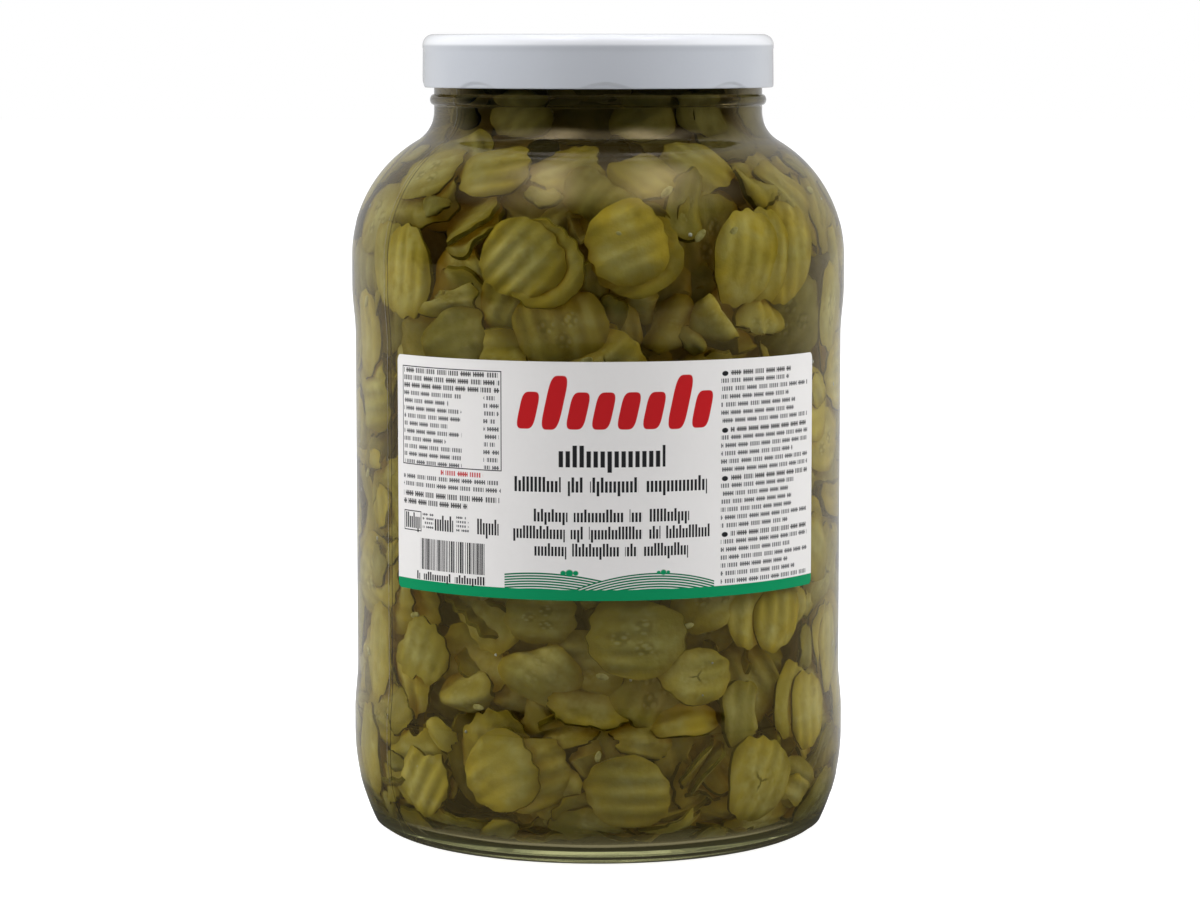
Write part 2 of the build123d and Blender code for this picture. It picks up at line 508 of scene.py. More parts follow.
@dataclass(frozen=True)
class PrintedPaper:
    """The label's paper and its print: a coloured foot band and plain shapes, in millimetres on the label.

    The piece's UV map holds millimetres from the label's lower left corner, divided by 1000.
    """

    width: float
    height: float
    name: str = "label_print"
    paper: Colour = rgb(232, 230, 227)
    shade: Colour = rgb(206, 205, 203)
    green: Colour = rgb(0, 139, 88)
    red: Colour = rgb(188, 26, 31)
    ink: Colour = rgb(38, 38, 40)
    grey_ink: Colour = rgb(72, 73, 76)
    leaf: Colour = rgb(16, 108, 70)
    band: float = 3.3
    plant_foot: float = 8.4
    frame_line: float = 0.3
    column_left: float = 40.4
    column_right: float = 2.9
    row_pitch: float = 2.43

    def material(self) -> bpy.types.Material:
        """Makes the material."""
        g = new_graph(self.name)
        x, y, _ = g.axes(g.place("UV"))
        x, y = x * 1000.0, y * 1000.0
        point = g.place()
        fibre = g.noise(point, 700.0, 3.0, 0.6)
        blotch = g.noise(point, 40.0, 2.0)
        colour = g.mix(blotch * 0.25 + fibre * 0.12, self.paper, self.shade)
        for shape, tone in self.print_layers(x, y):
            colour = g.mix(shape, colour, tone)
        worn = g.noise(point, 220.0, 4.0, 0.7).rise(0.7, 0.85)
        colour = g.mix(worn * 0.07, colour, self.paper)
        body = g.node(
            "ShaderNodeBsdfPrincipled",
            None,
            {
                "Base Color": colour,
                "Roughness": 0.42 + fibre * 0.12,
                "IOR": 1.45,
                "Specular IOR Level": 0.15,
                "Normal": g.bump(fibre * 0.6 + blotch * 0.8, 0.3, 0.0001),
            },
        )
        g.finish(body.outputs[0])
        return g.owner

    def print_layers(self, x: Value, y: Value) -> list[tuple[Value, Colour]]:
        """Lays out the print, from the first colour to the last.

        Args:
            x: millimetres from the label's left edge.
            y: millimetres from its lower edge.

        Returns:
            Each mask with its colour.
        """
        half, top = self.width / 2, self.height
        inks = {Ink.BLACK: self.ink, Ink.GREY: self.grey_ink, Ink.RED: self.red}
        layers = [(y < self.band, self.green), (self.fields(x, y, half), self.leaf)]
        for place, size in PLANTS:
            dx, dy = x - (half + place), (y - self.plant_foot) * 1.1
            layers.append(((dx * dx + dy * dy).rise(size * size, size * size * 0.4), self.green))
        layers.append((self.blobs(x, y, half - 30.5, half + 31.0, top - 20.5, 11.5), self.red))
        lines = [(half + left, *rest) for left, *rest in TITLE_LINES] + list(LEFT_LINES)
        for left, below, *rest in lines:
            layers.append((TypeLine(left, top - below, *rest).mask(x, y), self.ink))
        for left, right, foot, head in FRAMES:
            low, high, line = top - foot, top - head, self.frame_line
            inside = x.between(left, right) * y.between(low, high)
            core = x.between(left + line, right - line) * y.between(low + line, high - line)
            layers.append((inside - core, self.ink))
        for left, right, foot, head, pitch, fill, seed, ink in LEFT_BLOCKS:
            block = TypeBlock(left, right, top - foot, top - head, pitch, fill, seed)
            layers.append((block.mask(x, y), inks[ink]))
        stripes = self.stripes(x) * x.between(10.8, 35.6) * y.between(top - 65.6, top - 56.0)
        layers.append((stripes, self.ink))
        for head, foot in RIGHT_BLOCKS:
            layers += self.right_block(x, y, head, foot)
        return layers

    def right_block(self, x: Value, y: Value, head: float, foot: float) -> list[tuple[Value, Colour]]:
        """One block of the right column: a bold first row with a spot before it, and small rows under it."""
        left, right = self.width - self.column_left, self.width - self.column_right
        pitch, top = self.row_pitch, self.height
        small = TypeBlock(left, right, top - foot, top - head - pitch, pitch, 0.54, 29 + head)
        bold = TypeBlock(left + 3.4, right, top - head - 2.4, top - head, pitch, 0.6, 31 + head)
        spot_x, spot_y = x - left - 1.4, y - (top - head - 0.9)
        spot = (spot_x * spot_x * 0.5 + spot_y * spot_y).rise(0.75, 0.45)
        return [(small.mask(x, y), self.grey_ink), (bold.mask(x, y), self.ink), (spot, self.ink)]

    def fields(self, x: Value, y: Value, half: float) -> Value:
        """Rolling fields over the foot band: thin lines that follow two low hills, the right one in front."""
        crest = 5.0
        left, right = x - (half - 22.0), x - (half + 13.0)
        behind = y - self.band + left * left * 0.006
        before = y - self.band + right * right * 0.0085
        height = behind + (before - behind) * (before < crest)
        line = abs((height * 1.25).fract() - 0.5).rise(0.1, 0.28)
        return line * (height < crest + 0.1) * x.between(half - 33.0, half + 32.5) * (y > self.band)

    @staticmethod
    def blobs(x: Value, y: Value, left: float, right: float, low: float, tall: float) -> Value:
        """A row of slanted rounded shapes, two of them tall, where a pack carries its largest print.

        Args:
            x: millimetres across.
            y: millimetres up.
            left: the row's left end.
            right: its right end.
            low: its foot.
            tall: the height of the lower ones.

        Returns:
            The row's mask.
        """
        count, slant = 8, 0.22
        step = (x - left - (y - low) * slant) * (count / (right - left))
        number = step.floor()
        high = number.between(0.5, 1.5).at_least(number.between(5.5, 6.5))
        side = (step.fract() - 0.5) * 2.7
        rise = (y - (low + tall / 2) - high * 2.4) / (high * 2.6 + tall / 2)
        side, rise = side * side, rise * rise
        return (side * side + rise * rise).rise(1.0, 0.85) * step.between(0.0, float(count))

    @staticmethod
    def stripes(x: Value) -> Value:
        """Upright stripes of uneven width that stand for a bar pattern and hold no number."""
        cell = x * 1.5
        chance = ((cell.floor() * 3.7).sine() * 437.58).fract()
        return cell.fract() < chance * 0.6 + 0.25


@dataclass(frozen=True)
class PickleFlesh:
    """Soft cucumber flesh with a green skin, from the piece's three UV maps.

    Face holds the place on the slice, with its middle at FACE_MIDDLE and its edge FACE_REACH away.
    Tint holds two numbers for each slice: a chance hue, and its shade, a chance tone lowered as painted shade
    in the neck, shoulder and upper band. Relief holds how high its ridges stand. Shadows let glow_share of
    the light through, since thin slices shine.
    """

    name: str
    seeds: float = 0.0
    split: float = 0.0
    flesh_yellow: Colour = rgb(200, 174, 66)
    flesh_green: Colour = rgb(162, 148, 68)
    flesh_pale: Colour = rgb(206, 194, 124)
    # the darker colour of the ridges' valleys, which is painted shade, and of stains
    valley: Colour = rgb(140, 120, 36)
    rim: Colour = rgb(146, 124, 32)
    skin: Colour = rgb(92, 84, 22)
    seed: Colour = rgb(204, 194, 136)
    hollow: Colour = rgb(96, 88, 42)
    crack: Colour = rgb(74, 66, 28)
    glow: Colour = rgb(236, 214, 130)
    glow_share: float = 0.74
    seed_turns: tuple[float, ...] = (90, 210, 330)
    seed_out: float = 0.27
    crack_turns: tuple[float, ...] = (80, 200, 325)

    def material(self) -> bpy.types.Material:
        """Makes the material."""
        g = new_graph(self.name)
        face = g.node("ShaderNodeUVMap", {"uv_map": "Face"}).outputs[0]
        chance = g.node("ShaderNodeUVMap", {"uv_map": "Tint"}).outputs[0]
        relief = g.node("ShaderNodeUVMap", {"uv_map": "Relief"}).outputs[0]
        fx, fy, _ = g.axes(face)
        hue, shade, _ = g.axes(chance)
        ridge, _, _ = g.axes(relief)
        across, up = (fx - FACE_MIDDLE) / FACE_REACH, (fy - FACE_MIDDLE) / FACE_REACH
        square = across * across + up * up
        reach = square.math("SQRT", square)
        point = g.place()
        clouds = g.noise(point, 95.0, 3.0, 0.55)
        fine = g.noise(point, 420.0, 3.0, 0.6)
        blend = hue.rise(0.1, 0.9) * 0.7 + g.noise(point, 60.0, 2.0).rise(0.38, 0.62) * 0.45
        colour = g.mix(blend, self.flesh_yellow, self.flesh_green)
        colour = g.mix(clouds.rise(0.4, 0.7) * 0.6 + reach.rise(0.75, 0.2) * 0.22, colour, self.flesh_pale)
        # painted shade: the ridges' valleys are darkened by how low they lie in the Relief map
        colour = g.mix(ridge.rise(0.75, 0.1) * (fine * 0.3 + 0.12), colour, self.valley)
        if self.seeds:
            colour = self.with_seeds(g, colour, across, up)
        if self.split:
            colour = self.with_split(g, colour, across, up, fine)
        edge = (reach + clouds * 0.16).rise(0.74, 1.08) * 0.8
        colour = g.mix(edge, colour, self.rim)
        colour = g.mix(reach.rise(1.02, 1.1) * (fine * 0.5 + 0.5), colour, self.skin)
        stain = g.noise(point, 90.0, 3.0, 0.65).rise(0.52, 0.72)
        colour = g.mix(stain * 0.5, colour, self.valley)
        # the shade darkens the slice: a chance tone, with painted shade in the neck, shoulder and upper band
        dim = shade * 0.62 + 0.44
        grey = g.node("ShaderNodeCombineColor", None, {0: dim, 1: dim, 2: dim}).outputs[0]
        colour = g.mix(1.0, colour, grey, "MULTIPLY")
        body = g.node(
            "ShaderNodeBsdfPrincipled",
            None,
            {
                "Base Color": colour,
                "Roughness": 0.5 + fine * 0.2,
                "IOR": 1.36,
                "Specular IOR Level": 0.12,
                "Subsurface Weight": 0.3,
                "Subsurface Radius": (1.0, 0.8, 0.25),
                "Subsurface Scale": 0.003,
                "Normal": g.bump(fine + clouds * 0.6, 0.5, 0.0005),
            },
        )
        clear = g.node("ShaderNodeBsdfTransparent", None, {0: self.glow})
        shadow = g.value("ShaderNodeLightPath", None, None, "Is Shadow Ray")
        inputs = {0: shadow * self.glow_share, 1: body.outputs[0], 2: clear.outputs[0]}
        g.finish(g.node("ShaderNodeMixShader", None, inputs).outputs[0])
        return g.owner

    def with_seeds(self, g: Graph, colour: object, across: Value, up: Value) -> bpy.types.NodeSocket:
        """Adds the three groups of pale seeds, each in its dark-rimmed hollow."""
        vector = g.node("ShaderNodeCombineXYZ", None, {0: across * 7.5, 1: up * 5.5}).outputs[0]
        inputs = {"Vector": vector, "Scale": 1.0}
        cell = g.value("ShaderNodeTexVoronoi", {"voronoi_dimensions": "2D"}, inputs)
        zone = None
        for turn in self.seed_turns:
            t = math.radians(turn)
            dx, dy = across - self.seed_out * math.cos(t), up - self.seed_out * math.sin(t)
            spot = (dx * dx + dy * dy).rise(0.042, 0.012)
            zone = spot if zone is None else zone.at_least(spot)
        rim = cell.rise(0.34, 0.5) * zone
        kernel = cell.rise(0.32, 0.2) * zone
        colour = g.mix(rim * 0.36 * self.seeds, colour, self.hollow)
        return g.mix(kernel * 0.45 * self.seeds, colour, self.seed)

    def with_split(
        self, g: Graph, colour: object, across: Value, up: Value, fine: Value
    ) -> bpy.types.NodeSocket:
        """Adds the dark three-way crack that opens in the middle of a slice."""
        crack = None
        for turn in self.crack_turns:
            c, s = math.cos(math.radians(turn)), math.sin(math.radians(turn))
            along, side = across * c + up * s, up * c - across * s
            thin = abs(side + (fine - 0.5) * 0.1).rise(0.04, 0.01)
            leg = thin * along.between(-0.02, 0.3) * along.rise(0.3, 0.1)
            crack = leg if crack is None else crack.at_least(leg)
        return g.mix(crack * self.split * 0.7, colour, self.crack)


@dataclass(frozen=True)
class PlainBits:
    """Small pale seeds, and bubbles whose pale tone is a painted reflection: one tone, slightly mottled."""

    name: str
    tone: Colour
    dark: Colour
    rough: float = 0.4
    scale: float = 600.0

    def material(self) -> bpy.types.Material:
        """Makes the material."""
        g = new_graph(self.name)
        clouds = g.noise(g.place(), self.scale, 2.0)
        body = g.node(
            "ShaderNodeBsdfPrincipled",
            None,
            {
                "Base Color": g.mix(clouds.rise(0.35, 0.7), self.tone, self.dark),
                "Roughness": self.rough + clouds * 0.1,
            },
        )
        g.finish(body.outputs[0])
        return g.owner


# ---- mesh helpers


def arc(centre: Point, radius: float, start: float, end: float, pieces: int) -> list[Point]:
    """Points along an arc in the half plane of radius and height.

    Args:
        centre: the arc's centre.
        radius: its radius.
        start: its first angle in degrees, from outwards towards up.
        end: its last angle.
        pieces: how many steps it has.

    Returns:
        The points, both ends among them.
    """
    turns = [math.radians(start + (end - start) * i / pieces) for i in range(pieces + 1)]
    return [(centre[0] + radius * math.cos(t), centre[1] + radius * math.sin(t)) for t in turns]


def run(first: Point, last: Point, pieces: int, ease: bool = False) -> list[Point]:
    """Points along a straight run, or along a soft step from one radius to another."""
    points = []
    for i in range(pieces + 1):
        t = i / pieces
        share = (1 - math.cos(math.pi * t)) / 2 if ease else t
        points.append((first[0] + (last[0] - first[0]) * share, first[1] + (last[1] - first[1]) * t))
    return points


def tidy(points: list[Point]) -> list[Point]:
    """Drops points that repeat the one before."""
    kept = [points[0]]
    for point in points[1:]:
        if math.dist(point, kept[-1]) > 1e-4:
            kept.append(point)
    return kept


def lathe(profile: list[Point], steps: int, closed: bool = True) -> bmesh.types.BMesh:
    """Spins a profile about the axis.

    Args:
        profile: radius and height of each point, in millimetres.
        steps: how many steps the full turn has.
        closed: whether the last point joins the first.

    Returns:
        The mesh, in metres, with merged poles and outward faces.
    """
    bm = bmesh.new()
    verts = [bm.verts.new((0.0, -radius * MM, height * MM)) for radius, height in profile]
    edges = [bm.edges.new(pair) for pair in zip(verts, verts[1:])]
    if closed:
        edges.append(bm.edges.new((verts[-1], verts[0])))
    bmesh.ops.spin(bm, geom=verts + edges, cent=(0, 0, 0), axis=(0, 0, 1), angle=2 * math.pi, steps=steps,
                   use_merge=True, use_duplicate=False)
    bmesh.ops.remove_doubles(bm, verts=bm.verts, dist=1e-6)
    bmesh.ops.recalc_face_normals(bm, faces=bm.faces)
    return bm


def around(vert: bmesh.types.BMVert) -> tuple[float, float, float]:
    """A vertex's angle in degrees from the front, its radius and its height in millimetres."""
    x, y, z = vert.co
    return math.degrees(math.atan2(x, -y)), math.hypot(x, y) / MM, z / MM


def move_out(vert: bmesh.types.BMVert, amount: float) -> None:
    """Moves a vertex away from the axis by some millimetres."""
    reach = math.hypot(vert.co.x, vert.co.y)
    if reach > 1e-6:
        share = 1 + amount * MM / reach
        vert.co.x *= share
        vert.co.y *= share


def piece(
    name: str, bm: bmesh.types.BMesh, material: bpy.types.Material, smooth: float = 180.0
) -> bpy.types.Object:
    """Makes an object of a mesh and lets it ride on the jar.

    Args:
        name: the piece's name.
        bm: its mesh, which is freed.
        material: its finish.
        smooth: edges that turn by more degrees than this stay sharp.

    Returns:
        The object.
    """
    mesh = bpy.data.meshes.new(name)
    bm.to_mesh(mesh)
    bm.free()
    return dress(name, mesh, material, smooth)


def dress(name: str, mesh: bpy.types.Mesh, material: bpy.types.Material, smooth: float) -> bpy.types.Object:
    """Puts a finished mesh in the scene with its finish and lets it ride on the jar."""
    mesh.shade_smooth()
    if smooth < 180:
        mesh.set_sharp_from_angle(angle=math.radians(smooth))
    mesh.materials.append(material)
    obj = bpy.data.objects.new(name, mesh)
    bpy.context.scene.collection.objects.link(obj)
    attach(obj, ROOT)
    triangles = sum(len(p.vertices) - 2 for p in mesh.polygons)
    log.info("%s: %d triangles", name, triangles)
    return obj


# ---- glass


@dataclass
class GlassJar:
    """The wide-mouth glass jar: foot, heel, two guard bands, label panel, shoulder, neck and finish."""

    bulge_r: float = 78.45
    panel_r: float = 77.45
    heel_curve_r: float = 67.0
    heel_top_z: float = 31.0
    band_top_z: float = 37.0
    panel_low_z: float = 53.0
    panel_high_z: float = 158.0
    upper_band_z: float = 174.0
    shoulder_z: float = 183.0
    shoulder_r: float = 42.45
    neck_r: float = 52.1
    hollow_r: float = 11.0
    bead_z: float = 232.5
    bead_out: float = 1.3
    bead_half: float = 1.7
    rim_z: float = 252.75
    lip_r: float = 1.4
    wall: float = 3.0
    neck_wall: float = 3.3
    inner_hollow_r: float = 14.0
    inner_heel_r: float = 15.0
    base_wall: float = 5.5
    push_up: float = 4.5
    foot_inner_r: float = 60.0
    foot_outer_r: float = 66.5
    foot_curve_r: float = 6.5
    foot_curve_end: float = -38.0
    heel_curve_start: float = -25.2
    thread_low_z: float = 238.0
    thread_tall: float = 1.6
    thread_out: float = 1.6
    thread_turn: float = 30.0
    lug_phase: float = 2.5
    lug_step: float = 45.0
    uneven: float = 0.28
    uneven_low_z: float = 12.0
    uneven_high_z: float = 225.0
    steps: int = 216

    def side(self, inset: float, start_z: float, neck_r: float, hollow_r: float, top_z: float) -> list[Point]:
        """The wall from above the heel to the neck.

        Args:
            inset: how far inside the outer face this face lies.
            start_z: the height that it starts at.
            neck_r: the neck's radius on this face.
            hollow_r: the radius of the hollow under the neck on this face.
            top_z: the height that it ends at.

        Returns:
            The points, upwards.
        """
        band, panel = self.bulge_r - inset, self.panel_r - inset
        centre_r = self.bulge_r - self.shoulder_r
        shoulder = self.shoulder_r - inset
        lean = math.degrees(math.acos((neck_r + hollow_r - centre_r) / (shoulder + hollow_r)))
        neck_z = self.shoulder_z + (shoulder + hollow_r) * math.sin(math.radians(lean))
        points = run((band, start_z), (band, self.band_top_z), 3)
        points += run((band, self.band_top_z), (panel, self.panel_low_z), 10, ease=True)
        points += run((panel, self.panel_low_z), (panel, self.panel_high_z), 16)
        points += run((panel, self.panel_high_z), (band, self.upper_band_z), 10, ease=True)
        points += run((band, self.upper_band_z), (band, self.shoulder_z), 4)
        points += arc((centre_r, self.shoulder_z), shoulder, 0, lean, 26)
        points += arc((neck_r + hollow_r, neck_z), hollow_r, 180 + lean, 180, 12)
        points += run((neck_r, neck_z), (neck_r, top_z), 3)
        return points

    def inside(self, top_z: float, proud: float = 0.0) -> list[Point]:
        """The inner face, from the middle of the base to a height.

        Args:
            top_z: where it ends.
            proud: how far it is set out into the glass.

        Returns:
            The points.
        """
        band = self.bulge_r - self.wall + proud
        edge_r = self.bulge_r - self.wall - self.inner_heel_r
        bottom = self.base_wall - proud
        points = [(r, bottom + self.push_up * (1 - (r / edge_r) ** 2)) for r in np.linspace(0, edge_r, 16)]
        points += arc((edge_r, self.base_wall + self.inner_heel_r), self.inner_heel_r + proud, -90, 0, 16)
        points += self.side(
            self.wall - proud,
            self.base_wall + self.inner_heel_r,
            self.neck_r - self.neck_wall + proud,
            self.inner_hollow_r - proud,
            top_z,
        )
        points[-1] = (band if top_z < self.shoulder_z else points[-1][0], top_z)
        return tidy([(float(r), float(z)) for r, z in points])

    def outside(self) -> list[Point]:
        """The outer face, from the middle of the base to the rim."""
        radii = np.linspace(0, self.foot_inner_r, 12)
        foot = [(r, self.push_up * (1 - (r / self.foot_inner_r) ** 2)) for r in radii]
        foot += run((self.foot_inner_r, 0.0), (self.foot_outer_r, 0.0), 3)
        foot += arc((self.foot_outer_r, self.foot_curve_r), self.foot_curve_r, -90, self.foot_curve_end, 7)
        centre = (self.bulge_r - self.heel_curve_r, self.heel_top_z)
        foot += arc(centre, self.heel_curve_r, self.heel_curve_start, 0, 20)
        neck_end = self.bead_z - self.bead_half
        body = self.side(0.0, self.heel_top_z, self.neck_r, self.hollow_r, neck_end)
        bead = []
        for i in range(13):
            t = math.pi * i / 12
            out, down = self.bead_out * math.sin(t), self.bead_half * math.cos(t)
            bead.append((self.neck_r + out, self.bead_z - down))
        finish = run((self.neck_r, self.bead_z + self.bead_half), (self.neck_r, self.rim_z - self.lip_r), 44)
        return tidy([(float(r), float(z)) for r, z in foot + body + bead + finish])

    def build(self, glass: bpy.types.Material) -> bpy.types.Object:
        """Makes the jar in place of its CAD node."""
        bore = self.neck_r - self.neck_wall
        lip_z = self.rim_z - self.lip_r
        lip = arc((self.neck_r - self.lip_r, lip_z), self.lip_r, 0, 90, 6)
        lip += arc((bore + self.lip_r, lip_z), self.lip_r, 90, 180, 6)
        inner = self.inside(lip_z)
        profile = tidy(self.outside() + lip + inner[::-1])
        bm = lathe(profile, self.steps, closed=False)
        for vert in bm.verts:
            angle, reach, height = around(vert)
            self.settle(vert, angle, reach, height)
        obj = piece("glass_jar", bm, glass)
        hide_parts("jar")
        return obj

    def settle(self, vert: bmesh.types.BMVert, angle: float, reach: float, height: float) -> None:
        """Gives a vertex of the lathe its share of the thread ribs and of the glass's unevenness."""
        outer = reach > self.neck_r - 0.2
        if outer and self.thread_low_z < height < self.thread_low_z + self.thread_tall + 0.6:
            turn = (angle - self.lug_phase + self.lug_step / 2) % self.lug_step - self.lug_step / 2
            end = min(max((self.thread_turn / 2 - abs(turn)) / 3, 0), 1)
            lift = (height - self.thread_low_z) / self.thread_tall
            section = min(1.0, max(0.0, 2.0 - 1.6 * lift)) if lift > 0.15 else lift / 0.15
            move_out(vert, self.thread_out * end * min(section, 1.0))
        elif self.uneven_low_z < height < self.uneven_high_z and 49 < reach < self.bulge_r - 1.5:
            t = math.radians(angle)
            place = Vector((math.sin(t) * 2.2, math.cos(t) * 2.2, height * 0.022))
            move_out(vert, self.uneven * noise.noise(place))


@dataclass
class Brine:
    """The brine that fills the jar, set just into the glass."""

    jar: GlassJar
    top_z: float
    into_wall: float = 0.45
    steps: int = 160

    def build(self, liquid: bpy.types.Material) -> bpy.types.Object:
        """Makes the brine in place of its CAD node, with a meniscus at the glass."""
        side = self.jar.inside(self.top_z, self.into_wall)
        edge = side[-1][0]
        calm_z = self.top_z - 0.85
        top = [(edge - 1.2, self.top_z - 0.5), (edge - 3.0, self.top_z - 0.8), (edge * 0.5, calm_z)]
        profile = tidy(side + top + [(0.0, calm_z)])
        obj = piece("pickle_brine", lathe(profile, self.steps, closed=False), liquid, 60.0)
        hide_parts("brine")
        return obj


# ---- lid


@dataclass
class TwistLid:
    """The pressed steel lid: sunk middle, rounded shoulder, skirt, rolled hem and the pinches of its lugs."""

    top_z: float
    outer_r: float = 55.7
    height: float = 16.7
    shoulder_r: float = 3.4
    crown_r: float = 48.0
    drop: float = 1.1
    sheet: float = 0.3
    hem_tall: float = 1.6
    hem_deep: float = 0.95
    lugs: int = 8
    phase: float = 2.5
    pinch_half: float = 8.0
    pinch_tall: float = 2.1
    pinch_deep: float = 0.6
    lug_half: float = 5.5
    lug_reach: float = 2.3
    steps: int = 400

    def build(self, lacquer: bpy.types.Material) -> bpy.types.Object:
        """Makes the lid in place of its CAD node."""
        top, low, out = self.top_z, self.top_z - self.height, self.outer_r
        profile = [(0.0, top - self.drop), (self.crown_r * 0.5, top - self.drop)]
        profile += run((self.crown_r - 2.6, top - self.drop), (self.crown_r, top), 8)
        profile += arc((out - self.shoulder_r, top - self.shoulder_r), self.shoulder_r, 90, 0, 10)
        profile += run((out, top - self.shoulder_r), (out, top - self.shoulder_r - 0.9), 2)
        profile += run((out - 0.12, top - self.shoulder_r - 1.3), (out, low + self.pinch_tall + 1.6), 8)
        profile += run((out, low + self.pinch_tall + 1.2), (out, low + self.hem_deep / 2), 16)
        hem = self.hem_deep / 2
        profile += arc((out - hem, low + hem), hem, 0, -180, 8)
        profile += run((out - self.hem_deep, low + hem), (out - self.hem_deep, low + self.hem_tall), 5)
        profile += [(out - self.sheet, low + self.hem_tall + 0.3), (out - self.sheet, top - self.shoulder_r)]
        profile += arc((out - self.shoulder_r, top - self.shoulder_r), self.shoulder_r - self.sheet, 0, 90, 5)
        profile += [(self.crown_r + 0.3, top - self.sheet)]
        profile += [(self.crown_r - 2.3, top - self.drop - self.sheet)]
        profile += [(0.0, top - self.drop - self.sheet)]
        bm = lathe(tidy(profile), self.steps, closed=False)
        for vert in bm.verts:
            angle, reach, height = around(vert)
            self.press(vert, angle, reach, height - low)
        obj = piece("twist_off_lid", bm, lacquer, 55.0)
        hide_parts("lid")
        return obj

    def press(self, vert: bmesh.types.BMVert, angle: float, reach: float, above: float) -> None:
        """Presses a pinch into the skirt's edge over each lug, and draws the lug in from the hem."""
        turn = (angle - self.phase + 180 / self.lugs) % (360 / self.lugs) - 180 / self.lugs
        away = abs(math.radians(turn)) * self.outer_r
        if above > self.pinch_tall + 0.5 or reach < self.outer_r - 2.5:
            return
        crest = self.pinch_tall * (1 - (away / self.pinch_half) ** 2)
        inner = reach < self.outer_r - self.hem_deep * 0.75
        if above < crest:
            depth = min((crest - above) / 0.8, 1.0)
            move_out(vert, -self.pinch_deep * depth * (0.55 + 0.45 * crest / self.pinch_tall))
        if inner and above < self.hem_tall + 0.2 and away < self.lug_half and above > 0.4:
            move_out(vert, self.pinch_deep - self.lug_reach)


# ---- label


@dataclass
class FrontLabel:
    """The paper label glued round the front of the panel."""

    panel_r: float
    width: float = 150.3
    height: float = 72.3
    bottom_z: float = 83.0
    centre: float = 3.0
    thick: float = 0.12
    corner: float = 2.2
    clear: float = 0.02
    columns: int = 110
    rows: int = 30

    def build(self) -> bpy.types.Object:
        """Makes the label in place of its CAD node, with its print."""
        bm = bmesh.new()
        bmesh.ops.create_grid(bm, x_segments=self.columns, y_segments=self.rows, size=0.5)
        bmesh.ops.scale(bm, vec=(self.width, self.height, 1), verts=bm.verts)
        bmesh.ops.translate(bm, vec=(self.width / 2, self.height / 2, 0), verts=bm.verts)
        corners = [v for v in bm.verts if len(v.link_edges) == 2]
        bmesh.ops.bevel(
            bm, geom=corners, offset=self.corner, affect="VERTICES", segments=5, profile=0.5, material=-1
        )
        bmesh.ops.recalc_face_normals(bm, faces=bm.faces)
        if bm.faces[0].normal.z < 0:
            bmesh.ops.reverse_faces(bm, faces=bm.faces)
        bmesh.ops.solidify(bm, geom=bm.faces[:], thickness=self.thick)
        layer = bm.loops.layers.uv.new("Print")
        for face in bm.faces:
            for loop in face.loops:
                loop[layer].uv = (loop.vert.co.x * MM, loop.vert.co.y * MM)
        lowest = min(v.co.z for v in bm.verts)
        for vert in bm.verts:
            self.wrap(vert, lowest)
        bmesh.ops.recalc_face_normals(bm, faces=bm.faces)
        obj = piece("front_label", bm, PrintedPaper(self.width, self.height).material(), 40.0)
        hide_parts("label")
        return obj

    def wrap(self, vert: bmesh.types.BMVert, lowest: float) -> None:
        """Bends a vertex of the flat label round the panel."""
        turn = math.radians(self.centre) + (vert.co.x - self.width / 2) / self.panel_r
        reach = (self.panel_r + self.clear + vert.co.z - lowest) * MM
        height = (self.bottom_z + vert.co.y) * MM
        vert.co = (math.sin(turn) * reach, -math.cos(turn) * reach, height)


# ---- pickles


class Cut(Enum):
    """The kinds of slice."""

    PLAIN = "plain"
    SEEDED = "seeded"
    SPLIT = "split"
    CURLED = "curled"
    RAGGED = "ragged"
    FOLDED = "folded"
    HALF = "half"
    INNER = "inner"
    SCRAP = "scrap"


@dataclass(frozen=True)
class Slice:
    """A listed slice: where it lies on the wall and how it looks.

    Angle and height give its middle, wide and tall its half sizes in millimetres, turn the way its
    ridges run from level, depth the least distance from the glass, and tilt and lean how far and which
    way it leans in. Stack is how many like it lie behind, each moved on towards the angle of drift.
    """

    angle: float
    height: float
    wide: float
    tall: float
    turn: float
    cut: Cut
    hue: float = 0.4
    shade: float = 0.7
    depth: float = 0.0
    tilt: float = 4.0
    lean: float = 90.0
    stack: int = 0
    drift: float = -20.0


